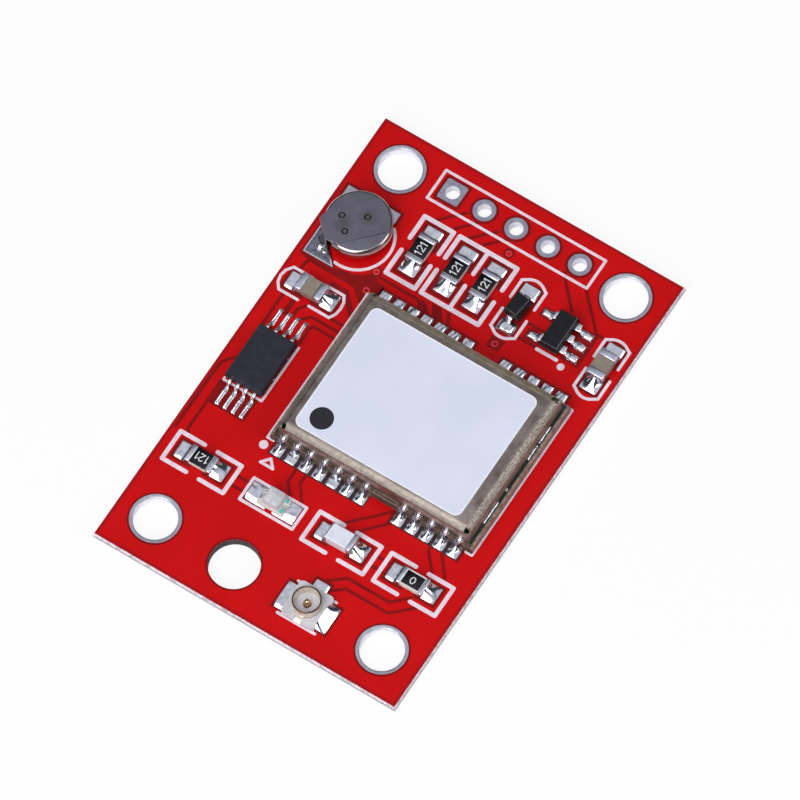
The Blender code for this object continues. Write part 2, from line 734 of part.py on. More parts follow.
def add_diode(x, finishes):
    """A two-lead diode, soldered a few degrees askew on its lands."""
    carrier = group("diode", x, UPPER_ROW_Y - 0.1 * DIODE_LENGTH, math.pi / 2 + DIODE_TURN)
    body = moulded_body_mesh("diode_body", DIODE_LENGTH, DIODE_WIDTH, DIODE_HEIGHT)
    piece("diode_body", body, finishes["package"], carrier)
    side = DIODE_LENGTH / 2
    outreach = CHIP_FOOTPRINT / 2 - side
    exit_height = (PACKAGE_STANDOFF + DIODE_HEIGHT) / 2.4
    lead = gull_lead_mesh(
        "diode_lead", 0.35 * DIODE_WIDTH, LEAD_THICKNESS, exit_height, 0.15 * outreach,
        0.5 * outreach, (0.12 * outreach, outreach, DIODE_WIDTH), side, DIODE_TURN,
    )
    piece("diode_lead_1", lead, finishes["tin"], carrier, (side, 0.0, 0.0))
    piece("diode_lead_2", lead, finishes["tin"], carrier, (-side, 0.0, 0.0), math.pi)


# Backup cell

def cell_mesh():
    """The sealed cell: a small cap below, a gasket groove, and the crimped can above it."""
    cap = CELL_RADIUS - CELL_CAP_INSET
    groove = CELL_GROOVE_HEIGHT
    rim = CELL_RIM_ROUND
    profile = [
        (0.0, 0.0), (cap - rim / 2, 0.0), (cap, rim / 2), (cap, 0.7 * groove), (cap + 0.3 * rim, groove),
        (CELL_RADIUS - rim, 0.6 * groove), (CELL_RADIUS - 0.3 * rim, 0.75 * groove),
        (CELL_RADIUS, 1.1 * groove),
    ]
    for i in range(4):
        angle = math.pi / 2 * i / 3
        radius = CELL_RADIUS - rim + rim * math.cos(angle)
        profile.append((radius, CELL_HEIGHT - rim + rim * math.sin(angle)))
    profile.append((0.0, CELL_HEIGHT))
    return turned("backup_cell", profile, 36)


def cell_foot():
    return LAND_THICKNESS + TAB_THICKNESS + SEAT_GAP


def top_tab_mesh():
    """The strip welded over the cell. Its leg bends down beside the cell, and +X points at it."""
    inner = CELL_RADIUS + 2 * SEAT_GAP
    outer = inner + TAB_THICKNESS
    low = cell_foot() + CELL_HEIGHT + SEAT_GAP
    high = low + TAB_THICKNESS
    reach = CELL_RADIUS - CELL_RIM_ROUND
    spread = math.asin(TOP_TAB_HALF_WIDTH / reach)
    steps = 8
    outline = [(outer, -TOP_TAB_LEG_HALF_WIDTH), (outer, TOP_TAB_LEG_HALF_WIDTH)]
    outline.append((0.75 * CELL_RADIUS, TOP_TAB_HALF_WIDTH))
    for i in range(steps + 1):
        angle = math.pi - spread + 2 * spread * i / steps
        outline.append((reach * math.cos(angle), reach * math.sin(angle)))
    outline.append((0.75 * CELL_RADIUS, -TOP_TAB_HALF_WIDTH))
    strip = prism("cell_top_tab", outline, low, high)
    leg_outline = rectangle(inner, outer, -TOP_TAB_LEG_HALF_WIDTH, TOP_TAB_LEG_HALF_WIDTH)
    leg = prism("leg", leg_outline, 0.5 * LAND_THICKNESS, low + TAB_THICKNESS / 2)
    profile = [(inner + TAB_THICKNESS / 2, 0.0), (outer + 4 * TAB_THICKNESS, 0.0)]
    profile += fillet_curve(outer + 4 * TAB_THICKNESS, LAND_THICKNESS, outer, 5 * TAB_THICKNESS)
    profile.append((inner + TAB_THICKNESS / 2, 5 * TAB_THICKNESS))
    fillet = moved(bar("solder", profile, 0.6 * TOP_TAB_LEG_HALF_WIDTH), y=0.35 * TOP_TAB_LEG_HALF_WIDTH)
    return fused("cell_top_tab", strip, [leg, fillet, corner_land_mesh()])


def corner_land_mesh():
    """The three-cornered land under the leg. It lies square on the board, so it is turned back."""
    left = -1.034 * CELL_RADIUS
    front = -1.387 * CELL_RADIUS
    outline = [(left, front), (0.0, front), (left, -0.3 * CELL_RADIUS)]
    return moved(prism("land", outline, 0.0, LAND_THICKNESS), turn=-TAB_TURN)


def bottom_tab_mesh():
    """The strip under the cell and the wide land it is soldered to."""
    half = CELL_LAND_WIDTH / 2
    middle = -0.157 * CELL_RADIUS
    land_outline = rectangle(middle - half, middle + half, 0.4 * CELL_RADIUS, 1.05 * CELL_RADIUS)
    land = prism("cell_bottom_tab", land_outline, 0.0, LAND_THICKNESS)
    half = BOTTOM_TAB_WIDTH / 2
    strip_outline = rectangle(-half, half, -0.3 * CELL_RADIUS, 0.95 * CELL_RADIUS)
    strip = prism("strip", strip_outline, 0.5 * LAND_THICKNESS, LAND_THICKNESS + TAB_THICKNESS)
    return fused("cell_bottom_tab", land, [strip])


def add_cell(finishes):
    carrier = group("cell", COLUMN_X + 0.119 * CELL_RADIUS, UPPER_ROW_Y - 0.375 * CELL_RADIUS)
    piece("backup_cell", cell_mesh(), finishes["cell"], carrier, (0, 0, cell_foot()))
    piece("cell_top_tab", top_tab_mesh(), finishes["tab"], carrier, turn=TAB_TURN)
    piece("cell_bottom_tab", bottom_tab_mesh(), finishes["tab"], carrier)


# Antenna socket

def socket_ring_mesh(grow):
    """The tube that the plug snaps over, with a bead outside near its mouth."""
    outer = SOCKET_RING_DIAMETER / 2 + grow
    inner = SOCKET_RING_DIAMETER / 2 - SOCKET_RING_WALL - grow
    tube = prism("ring", disc(outer, 28), SOCKET_FLOOR - grow, SOCKET_HEIGHT)
    core = prism("core", disc(inner, 28), -SOCKET_HEIGHT, 2 * SOCKET_HEIGHT)
    return cut("ring", tube, [core])


def socket_arms(grow):
    """The flat arms that carry the ring out through the housing to its two lugs and its front leg."""
    low = SOCKET_FLOOR - grow
    high = SOCKET_FLOOR + SOCKET_PLATE_THICKNESS + grow
    start = SOCKET_RING_DIAMETER / 2 - SOCKET_RING_WALL / 2
    arms = []
    for sign in (-1, 1):
        near = sign * start
        far = sign * (SOCKET_WIDTH / 2 + SOCKET_PLATE_THICKNESS)
        half = 0.3 * SOCKET_LENGTH + grow
        arms.append(prism("arm", rectangle(min(near, far), max(near, far), -half, half), low, high))
    return arms


def socket_leg(grow):
    """The strip in front that runs over the housing and down its face."""
    half = SOCKET_LEG_WIDTH / 2 + grow
    start = SOCKET_RING_DIAMETER / 2 - SOCKET_RING_WALL / 2
    front = SOCKET_LENGTH / 2 + SOCKET_PLATE_THICKNESS
    over = SOCKET_HOUSING_HEIGHT + SOCKET_PLATE_THICKNESS
    return prism("leg", rectangle(-half, half, -front, -start), SOCKET_FLOOR - grow, over)


def socket_shell_mesh():
    """Ring, arms and leg in one stamping, with the soldered lugs and lands on either side."""
    lugs = []
    side = SOCKET_WIDTH / 2 + SEAT_GAP
    half = SOCKET_LUG_LENGTH / 2
    foot = SOCKET_FOOTPRINT / 2
    climb = SOCKET_FLOOR + 1.5 * SOCKET_PLATE_THICKNESS
    profile = [(side, 0.0), (foot, 0.0), (foot, LAND_THICKNESS)]
    profile += fillet_curve(side + 0.8 * (foot - side), LAND_THICKNESS, side, climb)
    for turn in (0.0, math.pi):
        lugs.append(moved(bar("lug", profile, half), turn=turn))
    return fused("antenna_socket_shell", socket_ring_mesh(0.0), socket_arms(0.0) + [socket_leg(0.0)] + lugs)


def socket_pin(grow):
    """The centre contact and the flat lead that brings it out to the signal land."""
    radius = SOCKET_PIN_DIAMETER / 2 + grow
    base = 0.5 * LAND_THICKNESS - grow
    profile = [
        (0.0, base), (radius, base), (radius, 0.85 * SOCKET_PIN_HEIGHT),
        (0.6 * radius, 0.96 * SOCKET_PIN_HEIGHT), (0.0, SOCKET_PIN_HEIGHT),
    ]
    post = turned("antenna_socket_pin", profile, 14)
    half = SOCKET_PIN_DIAMETER / 2 + grow
    out = SOCKET_LENGTH / 2 + SOCKET_LEG_WIDTH
    lead = prism("lead", rectangle(-1.1 * half, 1.1 * half, 0.0, out), base, 2 * LAND_THICKNESS + grow)
    return post, lead


def socket_pin_mesh():
    post, lead = socket_pin(0.0)
    near = SOCKET_LENGTH / 2 + SEAT_GAP
    width = 2.2 * SOCKET_LEG_WIDTH
    far = near + 1.3 * SOCKET_LEG_WIDTH
    land = prism("land", rectangle(-width / 2, width / 2, near, far), 0.0, LAND_THICKNESS)
    return fused("antenna_socket_pin", post, [lead, land])


def socket_housing_mesh():
    """The moulded base, round at its corners, with slots for the two contacts."""
    outline = rounded(SOCKET_WIDTH, SOCKET_LENGTH, 0.11 * SOCKET_WIDTH, 3)
    block = prism("antenna_socket_housing", outline, CHIP_STANDOFF / 2, SOCKET_HOUSING_HEIGHT)
    grow = SEAT_GAP
    slots = [socket_ring_mesh(grow)] + socket_arms(grow) + [socket_leg(grow)] + list(socket_pin(grow))
    return cut("antenna_socket_housing", block, slots)


def add_socket(finishes):
    carrier = group("antenna_socket", MODULE_X + 0.322 * SOCKET_WIDTH, SOCKET_Y)
    piece("antenna_socket_housing", socket_housing_mesh(), finishes["socket_plastic"], carrier)
    piece("antenna_socket_shell", socket_shell_mesh(), finishes["socket_metal"], carrier)
    piece("antenna_socket_pin", socket_pin_mesh(), finishes["gold"], carrier)


def main():
    clear_scene()
    finishes = {
        "mask": material("red_solder_mask", (0.56, 0.007, 0.010), 0.35),
        "module_board": material("dark_solder_mask", (0.05, 0.06, 0.045), 0.45),
        "can": material("nickel_silver", (0.20, 0.17, 0.13), 0.38, 1.0),
        "label": material("coated_paper", (0.70, 0.74, 0.86), 0.5),
        "package": material("black_epoxy", (0.010, 0.011, 0.014), 0.55),
        "memory": material("blue_black_epoxy", (0.028, 0.028, 0.042), 0.55),
        "ceramic": material("white_ceramic", (0.62, 0.60, 0.55), 0.5),
        "resistor": material("black_overcoat", (0.010, 0.011, 0.014), 0.45),
        "capacitor": material("tan_ceramic", (0.20, 0.18, 0.14), 0.5),
        "coil_body": material("white_coating", (0.76, 0.77, 0.82), 0.5),
        "led_base": material("white_laminate", (0.66, 0.66, 0.62), 0.5),
        "led_lens": material("milky_resin", (0.68, 0.69, 0.68), 0.3),
        "tin": material("soldered_tin", (0.45, 0.47, 0.52), 0.3, 1.0),
        "cell": material("stainless_steel", (0.14, 0.14, 0.17), 0.35, 1.0),
        "tab": material("rolled_steel", (0.20, 0.20, 0.24), 0.4, 1.0),
        "socket_plastic": material("pale_polymer", (0.68, 0.67, 0.66), 0.5),
        "socket_metal": material("bronze_plating", (0.50, 0.40, 0.27), 0.3, 1.0),
        "gold": material("gold_plating", (0.80, 0.58, 0.28), 0.3, 1.0),
    }
    piece("pcb", board_mesh(), finishes["mask"])
    add_receiver(finishes)
    add_cell(finishes)
    add_memory(finishes)
    add_chips(finishes)
    add_socket(finishes)
    bpy.context.view_layer.update()


main()
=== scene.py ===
# %% [markdown]
# A satellite receiver board dressed for its portrait. The solid model is the frame: a red board,
# a soldered receiver module under a metal shield, a small cell, chips, chip parts and a socket.
# Here each of them gets the finish and the small forms that the eye looks for: solder that
# climbs, printed lines, plated hole walls, crimped steel. The frame stays where it is, and each
# new piece rides on it.

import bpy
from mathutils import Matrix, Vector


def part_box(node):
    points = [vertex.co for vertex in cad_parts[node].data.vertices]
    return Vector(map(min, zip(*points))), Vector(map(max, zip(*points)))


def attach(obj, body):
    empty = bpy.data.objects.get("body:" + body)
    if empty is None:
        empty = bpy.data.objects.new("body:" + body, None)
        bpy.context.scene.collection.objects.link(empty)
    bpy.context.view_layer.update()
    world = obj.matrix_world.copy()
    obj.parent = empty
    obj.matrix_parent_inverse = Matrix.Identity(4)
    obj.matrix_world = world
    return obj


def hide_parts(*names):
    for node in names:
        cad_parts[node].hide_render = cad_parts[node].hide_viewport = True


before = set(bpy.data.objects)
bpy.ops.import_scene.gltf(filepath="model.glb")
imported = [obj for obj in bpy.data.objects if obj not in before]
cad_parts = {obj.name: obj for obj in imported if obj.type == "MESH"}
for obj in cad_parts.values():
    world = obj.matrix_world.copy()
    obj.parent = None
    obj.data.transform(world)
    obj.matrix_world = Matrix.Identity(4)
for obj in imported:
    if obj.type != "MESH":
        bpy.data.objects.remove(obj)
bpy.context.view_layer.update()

# %% [markdown]
# Blender works in metres and a board maker works in millimetres, so every drawing below is in
# millimetres and is scaled once, when a drawing becomes a piece. The heights of the board's top
# and of the seat of the parts come from the solid model. Places were read off with a rule that
# reads 0.6 % long, so one function corrects them.

# %% Units and levels
import math
import random

import bmesh
import bpy
from mathutils import Matrix, Vector

MM = 0.001
RULE = 0.994
LABEL_OVER_BOARD, SEAT_GAP = 2.43, 0.01
BOARD_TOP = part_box("module_label")[0].z / MM - LABEL_OVER_BOARD
SEAT = BOARD_TOP + SEAT_GAP


def box_mm(node):
    """The lowest and highest corner of a solid, in millimetres."""
    low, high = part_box(node)
    return low / MM, high / MM


def measured(points):
    """Places as read off with the rule, made true."""
    return [(x * RULE, y * RULE) for x, y in points]


print("board top", round(BOARD_TOP, 3), "mm, seat of the parts", round(SEAT, 3), "mm")

# %% [markdown]
# Colours are written as the hex values that a colour picker shows. Screens store light on a
# curve and a shader needs real light, so one function turns each hex into linear numbers. Every
# finish drifts from a dark to a light hex in soft patches and has a fine grain in its gloss,
# because no real surface is even.

# %% Colour and node helpers
def linear(hex_text):
    """An sRGB hex colour as linear red, green, blue and an alpha of one."""
    parts = [int(hex_text[i : i + 2], 16) / 255 for i in (1, 3, 5)]
    return tuple(p / 12.92 if p < 0.0405 else ((p + 0.055) / 1.055) ** 2.4 for p in parts) + (1.0,)


def add(tree, kind, settings=None, **links):
    """One shader node. Settings are its own values; each link is a number, a colour or a socket."""
    made = tree.nodes.new("ShaderNode" + kind)
    for name, value in (settings or {}).items():
        setattr(made, name, value)
    for name, value in links.items():
        socket = made.inputs[int(name[1:])] if name[0] == "_" else made.inputs[name]
        if isinstance(value, bpy.types.NodeSocket):
            tree.links.new(value, socket)
        else:
            socket.default_value = value
    return made


def ramp(tree, value, *stops):
    """A colour that changes with a value; each stop is a position and a hex or a grey level."""
    made = add(tree, "ValToRGB", Fac=value)
    elements = made.color_ramp.elements
    while len(elements) < len(stops):
        elements.new(0.5)
    for element, (position, colour) in zip(elements, stops):
        element.position = position
        element.color = linear(colour) if isinstance(colour, str) else (colour,) * 3 + (1.0,)
    return made.outputs["Color"]


def surface(name, dark, light, spot, rough, bump=0.0, grain=None, brush=(1, 1, 1), **shader):
    """A finish whose colour drifts from dark to light in patches of a size in millimetres.

    rough is the lowest and highest roughness, bump the depth of its grain in millimetres, and
    brush stretches the grain along the axes where it is under one.
    """
    made = bpy.data.materials.new(name)
    made.use_nodes = True
    tree = made.node_tree
    coat = tree.nodes["Principled BSDF"]
    place = add(tree, "TexCoord").outputs["Object"]
    patches = add(tree, "TexNoise", Vector=place, Scale=1 / (spot * MM), Detail=3.0)
    tree.links.new(ramp(tree, patches.outputs["Fac"], (0.36, dark), (0.64, light)),
                   coat.inputs["Base Color"])
    along = add(tree, "Mapping", Vector=place, Scale=brush).outputs[0]
    fine = add(tree, "TexNoise", Vector=along, Scale=1 / ((grain or spot / 4) * MM), Detail=2.0)
    worn = add(tree, "MapRange", Value=fine.outputs["Fac"], _3=rough[0], _4=rough[1])
    tree.links.new(worn.outputs["Result"], coat.inputs["Roughness"])
    if bump:
        relief = add(tree, "Bump", Height=fine.outputs["Fac"], Distance=bump * MM)
        tree.links.new(relief.outputs["Normal"], coat.inputs["Normal"])
    for socket, value in shader.items():
        coat.inputs[socket.replace("_", " ")].default_value = value
    print("finish", name)
    return made


def tint(made, share, hex_text):
    """Mixes another colour into a finish, by a share that a texture gives."""
    tree = made.node_tree
    base = tree.nodes["Principled BSDF"].inputs["Base Color"]
    mixed = add(tree, "MixRGB", Fac=share, Color1=base.links[0].from_socket,
                Color2=linear(hex_text))
    tree.links.new(mixed.outputs["Color"], base)


def near(made, spot, reach, ragged):
    """A share that is one at a spot in millimetres and fades to nothing at a reach."""
    tree = made.node_tree
    place = tree.nodes["Texture Coordinate"].outputs["Object"]
    gap = add(tree, "VectorMath", {"operation": "DISTANCE"}, _0=place,
              _1=[value * MM for value in spot]).outputs["Value"]
    rough_edge = add(tree, "TexNoise", Vector=place, Scale=1 / (ragged * MM), Detail=3.0)
    far = add(tree, "MapRange", Value=gap, _1=0.0, _2=reach * MM, _3=1.0, _4=0.0).outputs[0]
    return add(tree, "Math", {"operation": "MULTIPLY"}, _0=far,
               _1=rough_edge.outputs["Fac"]).outputs[0]


def paint(node, made):
    """Gives a solid that stays in view its finish, in every slot."""
    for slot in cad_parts[node].material_slots:
        slot.material = made


# %% [markdown]
# Solder mask is a thin printed lacquer over copper foil. Where copper lies under it the red is
# bright; the foil stops short of the board's edges, and the brown laminate there makes it
# darker. The cut edge shows raw glass laminate: the scored bevels are pale, the broken middle is
# rough and grey. Position in the board tells the shader which is which, so one finish does the
# whole slab.

# %% Red board
HALF_BOARD = {"X": 12.0, "Y": 18.0}
FOIL_BORDER, FOIL_FADE = 0.33, 0.08

red_mask = surface("red_solder_mask", "#C2070A", "#CA090D", 5.0, (0.3, 0.42), 0.002, 0.6,
                   Specular_IOR_Level=0.12)
tree = red_mask.node_tree
place = tree.nodes["Texture Coordinate"].outputs["Object"]
axes = add(tree, "SeparateXYZ", Vector=place)
borders = []
for axis, half in HALF_BOARD.items():
    size = add(tree, "Math", {"operation": "ABSOLUTE"}, _0=axes.outputs[axis])
    edge = (half - FOIL_BORDER) * MM
    borders.append(add(tree, "MapRange", Value=size.outputs[0], _1=edge,
                       _2=edge + FOIL_FADE * MM))
border = add(tree, "Math", {"operation": "MAXIMUM"}, _0=borders[0].outputs[0],
             _1=borders[1].outputs[0])
tint(red_mask, border.outputs[0], "#A50E14")

glass_noise = add(tree, "TexNoise", Vector=place, Scale=1 / (0.12 * MM), Detail=3.0)
broken = ramp(tree, glass_noise.outputs["Fac"], (0.38, "#7A7074"), (0.6, "#BDB2B8"))
level = add(tree, "MapRange", Value=axes.outputs["Z"], _1=0.0, _2=BOARD_TOP * MM)
scored = ramp(tree, level.outputs[0], (0.3, 1.0), (0.36, 0.0), (0.6, 0.0), (0.66, 1.0))
bevel_noise = add(tree, "TexNoise", Vector=place, Scale=1 / (0.35 * MM), Detail=4.0)
bevelled = ramp(tree, bevel_noise.outputs["Fac"], (0.4, "#B9ADB4"), (0.52, "#E2D6DE"))
edge_tone = add(tree, "MixRGB", Fac=scored, Color1=broken, Color2=bevelled)
facing = add(tree, "SeparateXYZ", Vector=add(tree, "NewGeometry").outputs["Normal"])
upright = add(tree, "Math", {"operation": "ABSOLUTE"}, _0=facing.outputs["Z"])
is_side = add(tree, "Math", {"operation": "LESS_THAN"}, _0=upright.outputs[0], _1=0.5)
coat = tree.nodes["Principled BSDF"]
whole = add(tree, "MixRGB", Fac=is_side.outputs[0],
            Color1=coat.inputs["Base Color"].links[0].from_socket,
            Color2=edge_tone.outputs["Color"])
tree.links.new(whole.outputs["Color"], coat.inputs["Base Color"])
paint("pcb", red_mask)

# %% [markdown]
# The foil that is etched away leaves shallow channels, and the mask over them looks darker. They
# are drawn below as very thin bands. Copper rings of the small holes that the mask covers push
# it up, and it thins over their edges, so they look paler. Silkscreen is white epoxy ink pushed
# through a mesh: it dries matt with a faint weave, here 0.1 mm so that it shows. Raw laminate is
# glass cloth in brown resin, and the module's own mask is a green so dark that it looks black.
# The dark between the front joints and on the module's front margin and wall is painted shade.

# %% Masks, inks and laminate
bare_mask = surface("mask_over_laminate", "#7C090A", "#8A0C0D", 1.5, (0.3, 0.45), 0.002, 0.3,
                    Specular_IOR_Level=0.15)
thin_mask = surface("mask_over_ring", "#C4242A", "#CF3A3E", 0.3, (0.25, 0.4), 0.002,
                    Specular_IOR_Level=0.4)
legend_ink = surface("silkscreen_ink", "#E2CFDB", "#EDDFE8", 0.5, (0.5, 0.7), 0.003, 0.1)
mark_ink = surface("resistor_mark_ink", "#D2D2D6", "#E2E2E4", 0.2, (0.4, 0.6))
dot_ink = surface("label_dot_ink", "#14141C", "#1E1E28", 0.4, (0.35, 0.5))
teal_ink = surface("lamp_mark_ink", "#2FA79B", "#5CC7BB", 0.12, (0.3, 0.5))
module_glass = surface("module_glass_laminate", "#6E5C50", "#A08A7E", 0.25, (0.4, 0.6),
                       0.004, 0.1)
# Darker laminate: painted shade on the module's front margin and front wall.
shaded_glass_laminate = surface("laminate_painted_shade", "#43342C", "#66534A", 0.3, (0.6, 0.8),
                        0.004, 0.1, Specular_IOR_Level=0.2)
module_mask = surface("module_solder_mask", "#10201B", "#1C2F27", 0.6, (0.12, 0.25), 0.002, 0.2,
                      Specular_IOR_Level=0.5)
# Nearly black: painted shade in the gaps between the front joints.
painted_gap_shade = surface("painted_gap_shade", "#2B1F24", "#45333A", 0.25, (0.4, 0.6), 0.003, 0.1,
                       Specular_IOR_Level=0.2)
# Nearly black: painted shade over the plain hole's bare laminate wall.
shaded_drilled_wall = surface("drilled_laminate_painted_shade", "#1C171B", "#4C3F45", 0.15, (0.6, 0.8), 0.004, 0.08)

# %% [markdown]
# Tin, nickel and steel all mirror the room. What tells them apart is tint and how blurred the
# mirror is: fresh solder is nearly sharp, a plated pad is greyer, and a rim that screws rub is
# paler than one that was only handled. A rolled shield is brushed one way and burnt brown in
# spots, and each of its folds has a look of its own: scuffed at the side, brushed along at the
# front, paler and olive at the back. Stamped steel is dark and even. Metals keep the default IOR.

# %% Metals
METAL = {"Metallic": 1.0}
solder = surface("reflowed_solder", "#DDE0E6", "#F2F4F8", 0.35, (0.08, 0.2), 0.004, 0.15, **METAL)
hot_tin = surface("levelled_tin_pad", "#BCC1CA", "#D8DCE4", 0.5, (0.22, 0.38), 0.003, 0.15,
                  **METAL)
# Near white: in part a painted reflection of the white table below the holes.
hole_wall_painted_reflection = surface("tinned_hole_wall_painted_reflection", "#EEECF2", "#F6F4FA", 0.4, (0.4, 0.6), 0.002)
ring_tin = surface("handled_tin_ring", "#B2B4C2", "#C8CAD6", 0.4, (0.25, 0.4), 0.003, 0.15, **METAL)
rubbed_tin = surface("rubbed_tin_rim", "#C6C6D0", "#DADAE2", 0.4, (0.25, 0.4), 0.003, 0.15, **METAL)
end_cap = surface("tinned_end_cap", "#C6CAD6", "#DDE0EA", 0.3, (0.24, 0.38), 0.003, 0.12, **METAL)
leg_tin = surface("tinned_leg", "#D8DADE", "#EFF0F3", 0.3, (0.12, 0.26), 0.002, 0.1, **METAL)
shield_metal = surface("rolled_shield", "#8D817A", "#A99F97", 0.9, (0.4, 0.56), 0.012, 0.09,
                       (0.7, 0.12, 0.3), **METAL)
LID_TOP = 3.22
BURNS = ((9.45, -0.95, 0.5), (9.4, -3.3, 0.45), (9.5, 1.7, 0.35), (-4.75, 2.6, 0.3))
for x, y, reach in BURNS:
    tint(shield_metal, near(shield_metal, (x, y, LID_TOP), reach, 0.2), "#4E3620")
side_fold = surface("scuffed_side_fold", "#7A7068", "#ADA39A", 0.14, (0.28, 0.5), 0.03, 0.09,
                    (1, 0.7, 1), **METAL)
front_fold = surface("brushed_front_fold", "#81786F", "#978E87", 0.3, (0.36, 0.52), 0.014, 0.08,
                     (0.12, 0.7, 0.7), **METAL)
pale_back_fold = surface("pale_olive_back_fold", "#A39884", "#B9AE98", 0.5, (0.6, 0.75), **METAL)
cell_steel = surface("stamped_cell_steel", "#7E7E87", "#8B8B94", 1.5, (0.38, 0.46), **METAL)
wall_steel = surface("drawn_cell_wall", "#ABA4A1", "#B8B1AE", 1.0, (0.1, 0.16), **METAL)
# A darker tin; in the half holes its darkness is painted shade of their walls.
dark_tin = surface("dark_solder_and_painted_shade", "#7B7985", "#A3A1AE", 0.3, (0.2, 0.35), 0.004, 0.15,
                   **METAL)
strip_steel = surface("nickel_strip", "#7C7A85", "#87858F", 1.8, (0.42, 0.5), 0.001, 0.2,
                      **METAL)
burnt_steel = surface("burnt_weld", "#33312F", "#524B46", 0.12, (0.3, 0.5), 0.003, **METAL)
gold_flash = surface("gold_flash", "#B98C62", "#E8C8A4", 0.3, (0.16, 0.3), 0.002, **METAL)
socket_shell = surface("plated_socket_shell", "#D2C8BA", "#E2D9CD", 0.5, (0.24, 0.34),
                       Metallic=0.55)
# The socket ring's rim is darker and olive.
dark_olive_rim = surface("dark_olive_socket_rim", "#5E5340", "#776A55", 0.4, (0.3, 0.42), **METAL)

# %% [markdown]
# Moulded epoxy is black with a fine matt grain from the mould, and the memory chip's is a little
# bluer. The white ceramics differ in gloss: alumina is chalky, the inductor's is glazed. The
# capacitor is barium titanate, a tan ceramic. Label paper has a very faint tooth, and its white
# rim is a painted highlight of the label's edge.

# %% Packages, ceramics, plastics and paper
epoxy = surface("moulded_epoxy", "#0E0F12", "#17181B", 0.4, (0.4, 0.6), 0.004, 0.06,
                Specular_IOR_Level=0.3)
# Pale lines on two package edges are painted highlights.
epoxy_edge_highlight = surface("epoxy_painted_edge_highlight", "#55565A", "#77787C", 0.3, (0.4, 0.6))
memory_epoxy = surface("memory_epoxy", "#22232E", "#292A36", 0.5, (0.45, 0.6), 0.004, 0.06,
                       Specular_IOR_Level=0.3)
inner_ceramic = surface("inner_ceramic", "#BEB7A6", "#D8D2C4", 0.6, (0.4, 0.6))
alumina = surface("alumina", "#CFC9C6", "#E4DEDB", 0.3, (0.4, 0.6), 0.003, 0.08)
resist_coat = surface("resistor_glass", "#08090D", "#11121A", 0.4, (0.18, 0.3),
                      Specular_IOR_Level=0.4)
titanate = surface("capacitor_ceramic", "#81796D", "#918574", 0.3, (0.35, 0.5), 0.003, 0.08)
glazed = surface("inductor_ceramic", "#D8DBE6", "#E4E7F0", 0.5, (0.25, 0.4), 0.002, 0.1)
paper = surface("label_paper", "#D9DEEE", "#DEE3F2", 4.0, (0.45, 0.55), 0.001, 0.2)
# The label's white rim is a painted highlight of its cut edge.
label_edge_highlight = surface("label_painted_edge_highlight", "#F2F4FA", "#FAFBFF", 1.0, (0.4, 0.5))
socket_nylon = surface("socket_nylon", "#C6C4C8", "#D1CED3", 0.6, (0.35, 0.5), 0.002, 0.1)
lamp_base = surface("lamp_base_resin", "#D6D4CA", "#E4E2DA", 0.3, (0.35, 0.5), 0.002, 0.1)
lamp_lens = surface("lamp_lens_resin", "#BEBEC3", "#CECED2", 0.25, (0.2, 0.35), 0.003, 0.12)

# %% [markdown]
# A few tools draw nearly everything here. A plate is a flat outline given thickness, and a block
# is a box with round edges. A band follows a centre line with round ends, as a plotter pen does.
# A ring is turned about an axis, and a dome is a low bead. A mound is a rectangle whose top
# follows a height rule, which is how solder sits on a land. Each is a closed skin.

# %% Drawing tools
HAIR = 0.002


def placed(name, data):
    """A new object in the scene."""
    made = bpy.data.objects.new(name, data)
    bpy.context.scene.collection.objects.link(made)
    return made


def finish_piece(bm, name, made_of, slot, sharp=40, replaces=(), even=False):
    """Turns a drawing in millimetres into a named piece that rides on the board.

    An even piece keeps its flat faces flat to the light beside its rounded edges.
    """
    bmesh.ops.recalc_face_normals(bm, faces=bm.faces)
    mesh = bpy.data.meshes.new(name)
    bm.to_mesh(mesh)
    bm.free()
    mesh.transform(Matrix.Scale(MM, 4))
    mesh.polygons.foreach_set("use_smooth", [True] * len(mesh.polygons))
    mesh.set_sharp_from_angle(angle=math.radians(sharp))
    made = placed(name, mesh)
    mesh.materials.append(made_of)
    if even:
        made.modifiers.new("flat_faces", "WEIGHTED_NORMAL").keep_sharp = True
    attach(made, "root")
    if replaces:
        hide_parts(*replaces)
    print("piece", name, len(mesh.polygons), "faces")
    return made


def at(outline, z):
    """A flat outline at a height."""
    return [(x, y, z) for x, y in outline]


def stitch(bm, one, other):
    """A strip of faces between two rings of equal count."""
    for k in range(len(one)):
        m = (k + 1) % len(one)
        bm.faces.new((one[k], one[m], other[m], other[k]))


def loft(bm, loops):
    """Skins a stack of loops of equal count and closes both ends."""
    rings = [[bm.verts.new(p) for p in loop] for loop in loops]
    for lower, upper in zip(rings, rings[1:]):
        stitch(bm, lower, upper)
    bm.faces.new(rings[0][::-1])
    bm.faces.new(rings[-1])


def plate(bm, outline, low, high):
    """A flat outline between two heights."""
    loft(bm, [at(outline, low), at(outline, high)])


